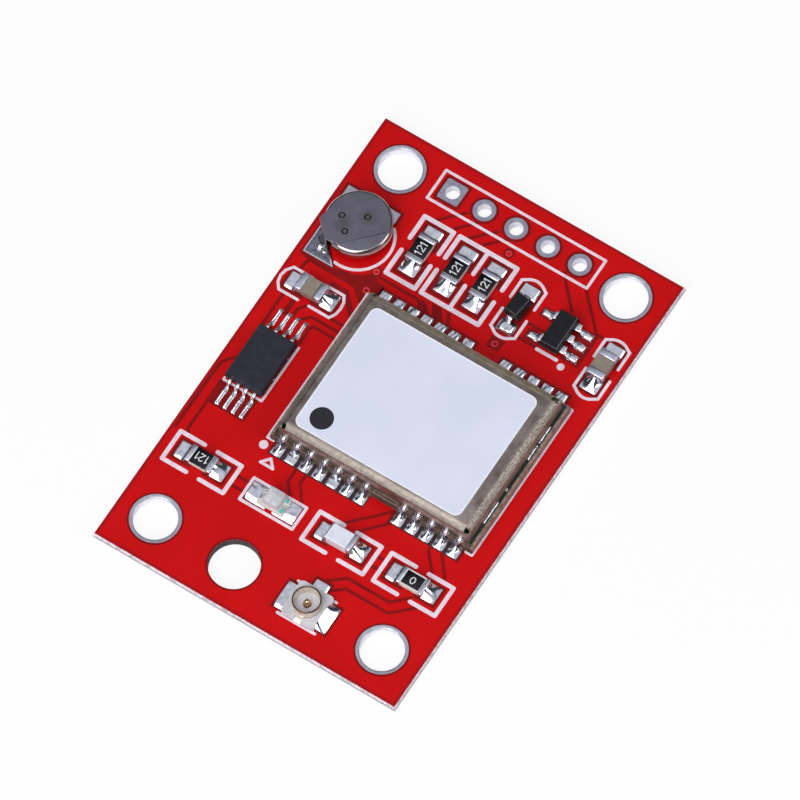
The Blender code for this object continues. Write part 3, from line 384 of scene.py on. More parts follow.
def band(bm, line, width, low, high, closed=False):
    """A flat band along a smooth centre line, with round ends."""
    points = [Vector(p) for p in line]
    last = len(points) - 1
    left, right = [], []
    for i, point in enumerate(points):
        ahead = (points[(i + 1) % len(points)] - point).normalized()
        behind = (point - points[i - 1]).normalized()
        if not closed and i == 0:
            behind = ahead
        if not closed and i == last:
            ahead = behind
        along = (ahead + behind).normalized()
        reach = Vector((-along.y, along.x)) * width / 2 / max(0.5, along.dot(ahead))
        left.append(point + reach)
        right.append(point - reach)
    if closed:
        rings = [[bm.verts.new((p.x, p.y, z)) for p in side]
                 for side, z in ((left, low), (left, high), (right, high), (right, low))]
        for one, other in zip(rings, rings[1:] + rings[:1]):
            stitch(bm, one, other)
        return

    def cap(centre, start, out):
        return [centre + start * math.cos(t) + out * width / 2 * math.sin(t)
                for t in (math.pi * k / 6 for k in range(1, 6))]

    tail = cap(points[-1], left[-1] - points[-1], (points[-1] - points[-2]).normalized())
    head = cap(points[0], right[0] - points[0], (points[0] - points[1]).normalized())
    plate(bm, [(p.x, p.y) for p in left + tail + right[::-1] + head], low, high)


def pen(bm, line, width, low, high, closed=False):
    """Straight strokes with round ends, each a hair higher than the last so that none fight."""
    ends = line[1:] + line[:1] if closed else line[1:]
    cycle = 3 if closed and len(line) % 2 else 2
    for k, (start, end) in enumerate(zip(line, ends)):
        band(bm, [start, end], width, low, high + HAIR * (k % cycle))


def turned(bm, x, y, profile, segments=48, square=False):
    """A closed profile of (radius, height) points turned about an upright axis.

    A radius below zero is the half width of a square instead of a circle's radius.
    """
    loops = []
    for radius, height in profile:
        loop = []
        for k in range(segments):
            angle = 2 * math.pi * (k + (0.5 if square else 0)) / segments
            c, s = math.cos(angle), math.sin(angle)
            reach = -radius / max(abs(c), abs(s)) if radius < 0 else radius
            loop.append(bm.verts.new((x + reach * c, y + reach * s, height)))
        loops.append(loop)
    for upper, lower in zip(loops, loops[1:] + loops[:1]):
        stitch(bm, upper, lower)


def dome(bm, x, y, radius, low, high, segments=20, rings=5, squash=1.0):
    """A low round cap with a flat foot, squashed along Y where squash is under one."""
    angles = [2 * math.pi * k / segments for k in range(segments)]
    loops = []
    for ring in range(rings):
        t = math.pi / 2 * ring / rings
        reach = radius * math.cos(t)
        loops.append([(x + reach * math.cos(a), y + squash * reach * math.sin(a),
                       low + (high - low) * math.sin(t)) for a in angles])
    loft(bm, loops)


def mound(bm, place, length, width, low, height, steps=(14, 14)):
    """A solid over a rectangle whose top is height(along, across).

    place maps the rectangle onto the board: along runs from 0 to 1 away from the part, and
    across from -1 to 1. Rows crowd towards the rim, where solder turns down.
    """
    along = [0.5 - 0.5 * math.cos(math.pi * i / steps[0]) for i in range(steps[0] + 1)]
    across = [-math.cos(math.pi * j / steps[1]) for j in range(steps[1] + 1)]
    top, foot = [], []
    for u in along:
        shrink = 1 - 0.05 * u ** 8
        spots = [place @ Vector((u * length, v * shrink * width / 2, 0)) for v in across]
        top.append([bm.verts.new((p.x, p.y, height(u, v))) for p, v in zip(spots, across)])
        foot.append([bm.verts.new((p.x, p.y, low)) for p in spots])
    for i in range(steps[0]):
        for j in range(steps[1]):
            bm.faces.new((top[i][j], top[i + 1][j], top[i + 1][j + 1], top[i][j + 1]))
            bm.faces.new((foot[i][j], foot[i][j + 1], foot[i + 1][j + 1], foot[i + 1][j]))
    rim = ([(i, 0) for i in range(steps[0])] + [(steps[0], j) for j in range(steps[1])]
           + [(i, steps[1]) for i in range(steps[0], 0, -1)]
           + [(0, j) for j in range(steps[1], 0, -1)])
    for (i, j), (k, m) in zip(rim, rim[1:] + rim[:1]):
        bm.faces.new((foot[i][j], foot[k][m], top[k][m], top[i][j]))


def block(bm, place, low, high, radius, segments=3):
    """A box between two corners with every edge rounded."""
    corners = [(x, y, z) for x in (low[0], high[0]) for y in (low[1], high[1])
               for z in (low[2], high[2])]
    spots = [bm.verts.new(place @ Vector(c)) for c in corners]
    faces = [bm.faces.new([spots[i] for i in side]) for side in
             ((0, 1, 3, 2), (4, 6, 7, 5), (0, 4, 5, 1), (2, 3, 7, 6), (0, 2, 6, 4), (1, 5, 7, 3))]
    edges = list({edge for face in faces for edge in face.edges})
    bmesh.ops.bevel(bm, geom=edges, offset=radius, offset_type="OFFSET", segments=segments,
                    profile=0.5, affect="EDGES", clamp_overlap=True)


def arc(x, y, radius, start, end, steps=24):
    """Points on a circle from one angle to another, in degrees."""
    angles = (math.radians(start + (end - start) * k / steps) for k in range(steps + 1))
    return [(x + radius * math.cos(a), y + radius * math.sin(a)) for a in angles]


def rectangle(x_low, x_high, y_low, y_high):
    """A rectangle with sharp corners, seen from above."""
    return [(x_low, y_low), (x_high, y_low), (x_high, y_high), (x_low, y_high)]


def rounded(x_low, x_high, y_low, y_high, radius, steps=5):
    """A rectangle with round corners, seen from above."""
    corners = ((x_high, y_high, 0), (x_low, y_high, 90), (x_low, y_low, 180), (x_high, y_low, 270))
    return [spot for x, y, start in corners
            for spot in arc(x - math.copysign(radius, x - (x_low + x_high) / 2),
                            y - math.copysign(radius, y - (y_low + y_high) / 2),
                            radius, start, start + 90, steps)]


# %% [markdown]
# Where a solid's shape is right but its edges are knife sharp, a copy of its mesh gets a small
# round on each edge and stands in for it. The real part was moulded, stamped or dipped, and the
# round is what catches the light. The solid itself isn't touched.

# %% Softened copies
def softened(node, radius, made_of, slot, name, segments=2, angle=28, sharp=50):
    """A copy of a solid with rounded edges that stands for it."""
    bm = bmesh.new()
    bm.from_mesh(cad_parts[node].data)
    bmesh.ops.scale(bm, vec=(1 / MM,) * 3, verts=bm.verts)
    bmesh.ops.remove_doubles(bm, verts=bm.verts, dist=0.0005)
    bmesh.ops.dissolve_limit(bm, angle_limit=math.radians(0.8), verts=bm.verts, edges=bm.edges)
    edges = [e for e in bm.edges if len(e.link_faces) == 2
             and e.calc_face_angle(0.0) > math.radians(angle)]
    if radius:
        bmesh.ops.bevel(bm, geom=edges, offset=radius, offset_type="OFFSET", segments=segments,
                        profile=0.5, affect="EDGES", clamp_overlap=True)
    return finish_piece(bm, name, made_of, slot, sharp, (node,), True)


# %% [markdown]
# Each plated hole has a tinned copper rim on top that turns down into the board, and a dull
# tinned wall lit from below by the white table, its near white partly a painted reflection. The
# screw holes' rims roll over inwards, which gives a thin bright line with a dark one inside it;
# the header's rims are flat with a crisp edge. The first header pad is square so that a hand can
# find it. The fifth big hole is plain: its wall is bare drilled laminate, dark with painted shade.

# %% Holes
SCREW_HOLES = [(-9.02, 15.23), (9.02, 15.23), (-9.02, -14.9), (9.02, -14.9)]
HEADER_PITCH = 2.54
# Each hole: place, radius of the rim and of the hole, clearing, facets, and a square pad or not.
HOLES = [(x, y, 1.78, 1.56, 0.14, 64, False) for x, y in SCREW_HOLES] + [
    (step * HEADER_PITCH, 15.66, 0.8, 0.51, 0.2, 40, step == -2) for step in range(-2, 3)]
PLAIN_HOLE, PLAIN_RADIUS = (-2.73, -14.9), 1.785
RIM_RISE, RIM_DEPTH = 0.047, 0.1


def ring_section(outer, inner, low, high):
    """The section of a flat ring."""
    return [(outer, low), (outer, high), (inner, high), (inner, low)]


wide_rims, header_rims, walls = bmesh.new(), bmesh.new(), bmesh.new()
for x, y, rim, hole, _, facets, square in HOLES:
    wide = rim > 1
    edge = -rim if square else rim
    lip = 0.036 if wide else 0.014
    roll = ((0.01, 0.048), (-0.3 * lip, 0.042), (-0.8 * lip, 0.02)) if wide else ((0.0, RIM_RISE),)
    turned(wide_rims if wide else header_rims, x, y,
           [(edge, BOARD_TOP), (edge, BOARD_TOP + RIM_RISE)]
           + [(hole + out, BOARD_TOP + rise) for out, rise in roll]
           + [(hole - lip, BOARD_TOP - 0.03), (hole - lip, BOARD_TOP - RIM_DEPTH),
              (hole + 0.02, BOARD_TOP - RIM_DEPTH), (hole + 0.02, BOARD_TOP)], facets, square)
    turned(walls, x, y, ring_section(hole + 0.03, hole - 0.01, 0.0, BOARD_TOP - 0.09), facets)
finish_piece(wide_rims, "mount_hole_plating", rubbed_tin, "tin", 50, (), True)
finish_piece(header_rims, "header_hole_plating", ring_tin, "tin", 50, (), True)
finish_piece(walls, "hole_walls", hole_wall_painted_reflection, "tin", 50)

# The plain hole's dark wall is painted shade.
bm = bmesh.new()
turned(bm, *PLAIN_HOLE, [(1.8, BOARD_TOP - 0.004), (PLAIN_RADIUS, BOARD_TOP - 0.02),
                         (PLAIN_RADIUS, 0.0), (1.8, 0.0)], 64)
finish_piece(bm, "plain_hole_wall", shaded_drilled_wall, "red_board", 50)

# %% [markdown]
# Channels in the foil are drawn with the pen at 0.23 mm, the usual gap of such boards. All of
# them are a few thousandths of a millimetre thick, so they colour the board without a step that
# the eye could see. Neighbours that cross lie at slightly different heights.

# %% Foil channels
UNDER = BOARD_TOP - 0.004
CHANNELS = [
    [(3.2, -12.7), (4.3, -11.83), (7.6, -11.83), (8.65, -10.8)],
    [(3.87, -13.15), (4.6, -12.55), (7.95, -12.55), (9.4, -11.2)],
    [(-6.1, -9.45), (-5.1, -9.45)], [(-6.1, -10.22), (-5.1, -10.22)],
    [(4.9, -9.45), (6.0, -9.45)], [(4.9, -10.22), (6.0, -10.22)],
    [(-3.0, -6.9), (-3.0, -8.0), (-2.3, -8.8)], [(-2.2, -6.9), (-2.2, -7.7), (-1.4, -8.75)],
    [(4.4, -6.0), (1.9, -8.55)], [(4.6, -6.9), (3.0, -8.6)],
    [(7.8, -6.9), (7.8, -7.3), (8.9, -8.55)], [(8.6, -6.9), (9.85, -8.45)],
    [(4.6, 15.0), (4.6, 14.6), (6.5, 12.6)], [(6.4, 14.5), (8.8, 12.05), (9.5, 12.0)],
    [(4.3, 10.3), (6.0, 10.3)], [(4.3, 9.05), (5.8, 9.05)],
    [(-3.5, 14.95), (-4.9, 13.5)], [(-2.3, 14.9), (-3.6, 13.5)],
    [(-0.9, 14.95), (-2.3, 13.5)], [(0.1, 14.95), (-1.2, 13.6)],
    [(-6.1, 8.1), (-5.85, 7.85), (-2.9, 7.85)],
    [(-10.3, 6.62), (-10.65, 6.45), (-10.8, 6.1), (-10.8, -2.0)],
    [(-10.85, -4.2), (-10.85, -8.3), (-10.6, -8.55)],
    [(-10.9, -2.15), (-11.35, -2.6), (-11.6, -3.0), (-11.65, -3.6), (-11.65, -8.6)],
    [(-9.0, 3.45), (-9.35, 3.0), (-9.35, 2.4)],
    [(-6.05, 3.54), (-7.1, 3.54)], [(-6.05, 2.97), (-8.25, 2.97), (-8.7, 2.5)],
    [(-6.05, 2.44), (-7.7, 2.44), (-7.87, 2.25), (-7.87, 0.9)],
]
WIDE_CHANNELS = [
    [(-9.95, 3.5), (-9.95, 2.3)], [(-8.3, 5.75), (-7.2, 5.75), (-6.05, 4.5)],
]
bm = bmesh.new()
widths = [0.23] * len(CHANNELS) + [0.4] * len(WIDE_CHANNELS)
for k, (width, line) in enumerate(zip(widths, CHANNELS + WIDE_CHANNELS)):
    band(bm, measured(line), width, UNDER, BOARD_TOP + 0.0025 + 0.001 * (k % 3))
finish_piece(bm, "foil_channels", bare_mask, "red_board")

# %% [markdown]
# The clearings round the lands come next. Most follow from the parts themselves: the land's box
# from the solid model, grown by a fifth of a millimetre, and a little more round the three
# upright resistors. The wide ones are drawn as outlines.

# %% Clearings round the lands
UPRIGHT = ("resistor_1", "resistor_2", "resistor_3")
CLEAR, UPRIGHT_CLEAR = 0.2, 0.3
CHIP_NAMES = UPRIGHT + ("resistor_4", "resistor_5", "capacitor_1", "capacitor_2", "inductor")
LANDED = [f"{part}_end_{end}" for part in CHIP_NAMES for end in (1, 2)]
LANDED += ["led_terminal_1", "led_terminal_2", "cell_bottom_tab"]
OUTLINES = [
    [(-11.55, 6.6), (-9.0, 6.6), (-8.6, 6.95), (-7.6, 7.1), (-7.0, 7.4), (-6.5, 7.85),
     (-6.1, 7.8), (-5.8, 7.5), (-5.2, 7.5), (-5.2, 6.3), (-6.05, 6.3), (-6.05, 5.5),
     (-7.0, 6.3), (-10.4, 6.35)],
    [(-11.55, 6.6), (-11.55, 9.4), (-11.3, 9.4), (-8.6, 6.6)],
    [(-2.9, 7.85), (-2.35, 8.0), (-2.05, 7.8), (-1.55, 7.3), (-2.5, 7.3)],
    [(-1.9, 8.15), (-1.1, 8.15), (-0.95, 7.9), (-0.45, 7.3), (-1.3, 7.3)],
    [(-0.7, 8.15), (-0.35, 8.1), (0.1, 7.3), (-0.2, 7.3)],
    rectangle(-5.3, 2.45, 6.2, 7.35), rectangle(4.3, 9.9, 6.2, 7.35),
    rectangle(-5.35, 2.35, -7.0, -5.9), rectangle(4.25, 9.95, -7.0, -5.9),
    rectangle(2.55, 4.15, 8.65, 12.85),
    [(2.9, 7.4), (3.85, 7.4), (3.95, 8.3), (2.85, 8.3)],
    rectangle(7.65, 9.1, 9.2, 11.95), rectangle(4.75, 6.0, 11.15, 11.95),
    rectangle(4.7, 6.0, 9.2, 10.1), rectangle(-11.0, -7.9, -5.95, -4.1),
    rectangle(2.43, 3.85, -13.5, -12.72), rectangle(0.92, 1.7, -16.25, -13.8),
    rectangle(4.5, 5.35, -16.25, -13.8),
]
CLEARING_TOP = BOARD_TOP + 0.011


def cleared(node):
    """The outline of a land seen from above, a little larger."""
    low, high = box_mm(node)
    by = UPRIGHT_CLEAR if node.startswith(UPRIGHT) else CLEAR
    return rectangle(low.x - by, high.x + by, low.y - by, high.y + by)


bm = bmesh.new()
outlines = [cleared(node) for node in LANDED] + [measured(outline) for outline in OUTLINES]
for k, outline in enumerate(outlines):
    plate(bm, outline, UNDER, BOARD_TOP + 0.0055 + 0.001 * (k % 5))
for x, y, rim, _, clear, facets, square in HOLES:
    sign = -1 if square else 1
    turned(bm, x, y, ring_section(sign * (rim + clear), sign * (rim - 0.1), UNDER, CLEARING_TOP),
           facets, square)
turned(bm, *PLAIN_HOLE, ring_section(1.93, 1.81, UNDER, CLEARING_TOP), 64)
finish_piece(bm, "land_clearings", bare_mask, "red_board")

# %% [markdown]
# Small covered holes join the two sides of the board. The mask fills them and leaves a ring with
# a dimple, seen as a pale circle on a dark patch.

# %% Covered holes
COVERED = [(0.57, 13.95), (3.37, 7.83), (-6.32, 8.1), (-6.15, 6.58)]
patches, rings = bmesh.new(), bmesh.new()
for x, y in measured(COVERED):
    turned(patches, x, y, ring_section(0.38, 0.2, UNDER, CLEARING_TOP + 0.002), 32)
    turned(rings, x, y, [(0.25, BOARD_TOP), (0.24, BOARD_TOP + 0.018), (0.19, BOARD_TOP + 0.024),
                         (0.14, BOARD_TOP + 0.014), (0.11, BOARD_TOP)], 32)
finish_piece(patches, "covered_hole_patches", bare_mask, "red_board")
finish_piece(rings, "covered_holes", thin_mask, "red_board", 60)

# %% [markdown]
# The printed legend frames each part. Lines are 0.2 mm with the thicker frames at 0.3 mm, drawn
# with the same pen, a little over the thickness of real ink so that the edge shows.

# %% Silkscreen legend
INK_FOOT, INK_TOP = BOARD_TOP - 0.003, BOARD_TOP + 0.022


def brackets(x_low, x_high, y_low, y_high, gap_low, gap_high, upright):
    """Two facing brackets round a part, open in the middle of two sides."""
    if upright:
        return [[(x_low, gap_high), (x_low, y_high), (x_high, y_high), (x_high, gap_high)],
                [(x_low, gap_low), (x_low, y_low), (x_high, y_low), (x_high, gap_low)]]
    return [[(gap_high, y_high), (x_high, y_high), (x_high, y_low), (gap_high, y_low)],
            [(gap_low, y_high), (x_low, y_high), (x_low, y_low), (gap_low, y_low)]]


def capsule(x_low, x_high, y_low, y_high, gap_low, gap_high, tip_low, tip_high):
    """Two bowed brackets above and below a part."""
    middle = (x_low + x_high) / 2

    def bow(side_y, tip_y, gap_y):
        crown = [(middle + (x_high - middle) * math.sin(t),
                  side_y + (tip_y - side_y) * (2 * math.cos(t) - 1))
                 for t in (math.radians(a) for a in range(-45, 46, 15))]
        return [(x_low, gap_y), (x_low, side_y)] + crown + [(x_high, side_y), (x_high, gap_y)]

    return [bow(y_high, tip_high, gap_high), bow(y_low, tip_low, gap_low)]


BRACKETS = ((0.32, -5.76, -3.43, 8.4, 13.28, 10.35, 11.41, True),
            (0.32, -2.92, 1.67, 8.4, 13.28, 10.35, 11.41, True),
            (0.3, -11.14, -6.24, -11.04, -8.71, -9.2, -8.17, False),
            (0.3, 0.07, 4.98, -11.07, -8.72, 1.99, 3.02, False),
            (0.3, 5.81, 10.73, -11.07, -8.72, 7.73, 8.76, False))
CAPSULES = ((2.39, 4.31, 8.85, 12.78, 10.33, 11.31, 8.43, 13.2),
            (9.57, 11.49, 8.04, 12.02, 9.54, 10.57, 7.62, 12.4))
DOTS = ((-5.85, -6.6, 0.32), (8.07, 8.71, 0.26))
STROKES = [(width, False, line) for width, *sides in BRACKETS for line in brackets(*sides)] + [
    (0.2, True, rectangle(-6.38, 6.45, 14.53, 16.93)),
    (0.22, True, rectangle(-5.06, -0.84, -10.8, -8.99)),
    (0.25, False, [(5.99, 8.99), (7.56, 8.99)]),
    (0.18, False, [(-7.71, 0.6), (-7.71, -4.0), (-10.78, -4.0), (-10.78, -3.85)]),
    (0.17, False, [(-5.4, 6.4), (-5.93, 6.4), (-5.93, -6.02), (-5.42, -6.02)]),
    (0.2, False, [(9.9, 6.42), (10.46, 6.42), (10.46, -6.05), (9.98, -6.05)]),
    (0.2, True, [(-4.86, -7.23), (-4.35, -7.79), (-5.34, -7.79)]),
    (0.22, False, [(1.63, -16.4), (4.6, -16.4)]),
    (0.2, False, [(1.58, -13.74), (1.68, -13.74)]),
    (0.2, False, [(4.4, -13.74), (4.62, -13.74)]),
]
CURVES = [(0.21, line) for sides in CAPSULES for line in capsule(*sides)] + [
    (0.2, [(-9.72, 5.45), (-11.25, 5.45), (-11.6, 5.0), (-11.7, 4.5), (-11.6, 4.0),
           (-11.25, 3.55), (-9.72, 3.55)]),
    (0.2, [(-8.83, 5.45), (-7.2, 5.45), (-6.95, 5.0), (-6.88, 4.5), (-6.95, 4.0),
           (-7.2, 3.55), (-8.83, 3.55)]),
    (0.21, arc(-8.75, 9.64, 2.465, 45, -98)),
]
bm = bmesh.new()
for width, closed, line in STROKES:
    pen(bm, measured(line), width, INK_FOOT, INK_TOP, closed)
for outer, inner in ((13.3, 11.4), (8.38, 10.36)):
    band(bm, measured([(-0.65, outer), (-0.65, inner)]), 0.3, INK_FOOT, INK_TOP + 2 * HAIR)
for width, line in CURVES:
    band(bm, measured(line), width, INK_FOOT, INK_TOP)
for x, y, radius in DOTS:
    plate(bm, arc(x * RULE, y * RULE, radius, 0, 345, 23), INK_FOOT, INK_TOP)
finish_piece(bm, "silkscreen_legend", legend_ink, "red_board")

# %% [markdown]
# The receiver module is a small board of its own. Its long sides carry half holes, plated and
# soldered down to lands on the big board. The laminate is one plate with those bites cut out,
# and a nearly black mask covers its top except for narrow margins. The front margin and the
# front wall are darkened with painted shade.

# %% Module board
PIN_PITCH, BITE, DECK = 1.1, 0.253, 1.61
PIN_X = ([-4.755 + PIN_PITCH * k for k in range(7)]
         + [4.845 + PIN_PITCH * k for k in range(5)])
MODULE = (-5.64, 10.37, -5.95, 6.25)

front = [(x + BITE * math.cos(a), BITE * math.sin(a)) for x in PIN_X
         for a in (math.pi * (1 - k / 8) for k in range(9))]
outline = ([(MODULE[0], MODULE[2])] + [(x, MODULE[2] + bite) for x, bite in front]
           + [(MODULE[1], MODULE[2]), (MODULE[1], MODULE[3])]
           + [(x, MODULE[3] - bite) for x, bite in reversed(front)] + [(MODULE[0], MODULE[3])])
bm = bmesh.new()
plate(bm, outline, SEAT, DECK)
slab = finish_piece(bm, "module_laminate", module_glass, "module_board",
                    replaces=("receiver_board",))
# Faces that look to the front take the darker laminate, painted shade.
slab.data.materials.append(shaded_glass_laminate)
for face in slab.data.polygons:
    face.material_index = int(face.normal.y < -0.3)
bm = bmesh.new()
plate(bm, rounded(MODULE[0] + 0.2, MODULE[1] - 0.2, MODULE[2] + 0.33, MODULE[3] - 0.06, 0.05, 2),
      DECK - 0.02, DECK + 0.012)
finish_piece(bm, "module_top_mask", module_mask, "module_board")
# The front margin's darker band is painted shade.
bm = bmesh.new()
plate(bm, rounded(MODULE[0] + 0.16, MODULE[1] - 0.16, MODULE[2] + 0.02, MODULE[2] + 0.34, 0.04, 2),
      DECK - 0.02, DECK + 0.006)
finish_piece(bm, "module_front_painted_shade", shaded_glass_laminate, "module_board")
bm = bmesh.new()
pen(bm, rectangle(2.55, 4.35, -5.9, -5.7), 0.045, DECK - 0.02, DECK + 0.012, True)
finish_piece(bm, "module_edge_mark", titanate, "module_board")

# %% [markdown]
# Solder wets each half hole, hangs on the land in front of it and freezes with ripples. No two
# joints are alike, so each height rule takes a seeded random lean and ripple. In front the
# solder falls from the wall in a ridge, which makes the white glints beside dark ones; behind
# it lies flat. A round bead sits on top of each half hole, a darker core of painted shade fills
# the hole itself, and the gaps between the front lands are dark with painted shade.

# %% Module joints
def bell_rule(seed, climb, ridge, spread=0.5, square=2, fall=1.1):
    """Solder with a short steep climb at the wall and a ridge that runs out to its land's end.

    spread is the ridge's half width at the wall as a share of the land's, square makes its sides
    steeper, and fall makes it drop sooner.
    """
    rng = random.Random(seed)
    lean, phase = rng.uniform(-0.15, 0.15), rng.uniform(0, 6.28)
    lift = ridge * rng.uniform(0.92, 1.08)

    def height(u, v):
        side = abs(v - lean * u) / (spread + 0.15 * u)
        rim = (1 - abs(v) ** 6) * (1 - u ** 8)
        wave = 0.012 * math.cos(5 * v + 3 * u + phase)
        return (SEAT + 0.05 + climb * (1 - u) ** 3.5 * math.exp(-3.5 * v * v)
                + lift * (1 - u) ** fall * math.exp(-1.1 * side ** square)
                + rim * (0.02 + wave))

    return height


def flat_rule(seed, length, width, climb=0.3, turn=0.13, level=0.09, wide=1, flare=0.0,
              crumple=0.005, lean=0.0):
    """Solder that lies flat on its land, has a short climb and turns down at its rim.

    The turn is broad on one long side, where v has the sign of wide, and tight elsewhere. It
    grows by flare towards the land's end, crumple is the height of the ripples, and lean raises
    the end at the part.
    """
    rng = random.Random(seed)
    phase, way = rng.uniform(0, 6.28), rng.choice((-1, 1))

    def height(u, v):
        side = min(1.0, (1 - abs(v)) * width / 2 / (turn + flare * u if v * wide > 0 else 0.03))
        end = min(1.0, (1 - u) * length / 0.03)
        wave = crumple * (math.cos(4 * v + 5 * way * u + phase)
                          + 0.6 * math.cos(9 * v - 7 * way * u - phase))
        return (SEAT + 0.02 + (level + wave + lean * (1 - u)) * side * end
                + climb * (1 - u) ** 12)

    return height


def banded_rule(seed):
    """Solder that froze early: a low flat cushion with ripples across it."""
    phase = random.Random(seed).uniform(0, 6.28)

    def height(u, v):
        rim = (1 - abs(v) ** 6) * (1 - u ** 8)
        return (SEAT + 0.06 + 0.5 * (1 - u) ** 9 * math.exp(-6 * v * v)
                + rim * (0.04 + 0.012 * math.cos(17 * u + phase)))

    return height


def turn_to(x, y, degrees):
    """Places a drawing whose first axis points in a direction, in degrees."""
    return Matrix.Translation((x, y, 0)) @ Matrix.Rotation(math.radians(degrees), 4, "Z")


BANDED = (1, 4)
JOINT_LENGTH, JOINT_WIDTH, CORE_RADIUS = 1.02, 0.82, 0.235
bm, cores = bmesh.new(), bmesh.new()
for side in (-1, 1):
    wall = MODULE[2] if side < 0 else MODULE[3]
    for k, x in enumerate(PIN_X):
        place = turn_to(x, wall - side * 0.12, side * 90)
        seed = 100 + 20 * side + k
        if side < 0 and k in BANDED:
            rule = banded_rule(seed)
        elif side < 0:
            rule = bell_rule(seed, 0.12, 0.34, 0.42, 4)
        else:
            rule = flat_rule(seed, JOINT_LENGTH, JOINT_WIDTH, 0.5, 0.1, wide=-1,
                             crumple=0.006 + 0.004 * (k % 3), lean=0.07)
        mound(bm, place, JOINT_LENGTH, JOINT_WIDTH, SEAT, rule, (20, 20))
        bead = 0.35 if k in BANDED else 0.32
        dome(bm, x + 0.08, wall - side * 0.24, bead, DECK - 0.02, DECK + 0.27, squash=0.85)
        if side < 0:
            plate(cores, arc(x, wall, CORE_RADIUS, 0, 345, 23), SEAT, DECK + 0.015)
finish_piece(bm, "module_solder_joints", solder, "tin", 60, ("receiver_board",))
# Plates between the front lands, dark with painted shade.
bm = bmesh.new()
for run in (PIN_X[:7], PIN_X[7:]):
    plate(bm, rounded(run[0] - 0.46, run[-1] + 0.46, MODULE[2] - 0.95, MODULE[2] + 0.01, 0.03, 2),
          UNDER, CLEARING_TOP + 0.002)
finish_piece(bm, "painted_shade_joint_gaps", painted_gap_shade, "red_board")
# The cores' dark tin is painted shade in the half holes.
finish_piece(cores, "half_hole_solder", dark_tin, "tin", 60)

# %% [markdown]
# The shield is a folded lid of rolled metal. Its folds are broad soft bevels, each with a finish
# of its own, and each corner has the relief notch that lets the sheet fold, wider on the right.
# The lid is skinned from level loops, the notches are cut out of it, and its foot is soldered
# to the module here and there.

# %% Shield
LID = (-5.2, 9.97, -5.65, 5.95)
LID_FOOT, LID_WALL = 1.62, 0.2
# Each level of the fold: how far it lies inside the wall, and its height.
FOLD = [(0.0, 2.72), (0.012, 2.8), (0.045, 2.865), (0.15, 2.97), (0.33, 3.13), (0.39, 3.175),
        (0.46, 3.205), (0.56, LID_TOP)]
# Each notch: place and width.
NOTCHES = ((LID[0] + 0.42, LID[2] + 0.2, 0.26), (LID[1] - 0.21, LID[2] + 0.2, 0.42),
           (LID[1] - 0.36, LID[3] - 0.29, 0.46), (LID[0] + 0.42, LID[3] - 0.2, 0.26))
# Each seam of solder at the right foot: where it starts and ends along Y.
SEAMS = ((2.9, 4.35), (1.5, 2.7), (-3.9, -2.15), (-1.2, -0.95))


def lid_loop(inset, z):
    """One level of the lid."""
    return at(rounded(LID[0] + inset, LID[1] - inset, LID[2] + inset, LID[3] - inset, 0.1, 2), z)


def carved(bm, cutters):
    """A drawing with other drawings cut out of it."""
    objects = []
    for drawing in (bm, cutters):
        mesh = bpy.data.meshes.new("drawing")
        bmesh.ops.recalc_face_normals(drawing, faces=drawing.faces)
        drawing.to_mesh(mesh)
        drawing.free()
        objects.append(placed("drawing", mesh))
    cut = objects[0].modifiers.new("cut", "BOOLEAN")
    cut.operation, cut.solver, cut.object = "DIFFERENCE", "EXACT", objects[1]
    result = bmesh.new()
    result.from_mesh(objects[0].evaluated_get(bpy.context.evaluated_depsgraph_get()).data)
    for item in objects:
        mesh = item.data
        bpy.data.objects.remove(item)
        bpy.data.meshes.remove(mesh)
    return result


outer = [lid_loop(0.0, LID_FOOT)] + [lid_loop(inset, z) for inset, z in FOLD]
inner = [lid_loop(0.56, LID_TOP - LID_WALL), lid_loop(LID_WALL, 2.8),
         lid_loop(LID_WALL, LID_FOOT)]
bm = bmesh.new()
rings = [[bm.verts.new(p) for p in loop] for loop in outer + inner]
crown, ceiling = rings[len(outer) - 1], rings[len(outer)]
for upper, lower in zip(rings, rings[1:]):
    if upper is not crown:
        stitch(bm, upper, lower)
bm.faces.new(crown)
bm.faces.new(ceiling[::-1])
stitch(bm, rings[0], rings[-1])
notches = bmesh.new()
for x, y, wide in NOTCHES:
    plate(notches, rounded(x - wide / 2, x + wide / 2, y - 0.17, y + 0.17, 0.04, 2), 2.5, 4.0)
lid = finish_piece(carved(bm, notches), "shield_lid", shield_metal, "shield", 30, ("shield_can",))
for made in (side_fold, front_fold, pale_back_fold):
    lid.data.materials.append(made)
for face in lid.data.polygons:
    lean = face.normal
    if lean.z > 0.12 and face.center.z > 2.7 * MM:
        if lean.y > 0.09 and lean.z < 0.995:
            face.material_index = 3
        elif lean.z < 0.95:
            face.material_index = 1 if lean.x > 0.3 else 2 if lean.y < -0.3 else 0
bm = bmesh.new()
for k, (y_low, y_high) in enumerate(SEAMS):
    def fillet(u, v, phase=2.0 * k):
        """A thin round seam with a wavy crest."""
        return DECK + 0.02 + (1 - v * v) * (0.05 + 0.02 * math.cos(14 * u + phase))

    mound(bm, turn_to(LID[1] + 0.05, y_low, 90), y_high - y_low, 0.13, DECK - 0.02, fillet, (20, 8))
finish_piece(bm, "lid_foot_solder", solder, "tin", 60)
for node, made in (("module_label", paper), ("receiver_chip", epoxy),
                   ("reference_oscillator", inner_ceramic), ("antenna_filter", inner_ceramic),
                   ("clock_crystal", inner_ceramic)):
    paint(node, made)

# %% [markdown]
# The label is bare paper with a white rim, a painted highlight of its edge, and the round
# black spot that marks the first pin.

# %% Label
low, high = box_mm("module_label")
bm = bmesh.new()
plate(bm, arc(low.x + 1.5, low.y + 1.3, 0.825, 0, 352.5, 47), high.z - 0.01, high.z + 0.008)
finish_piece(bm, "first_pin_dot", dot_ink, "label")
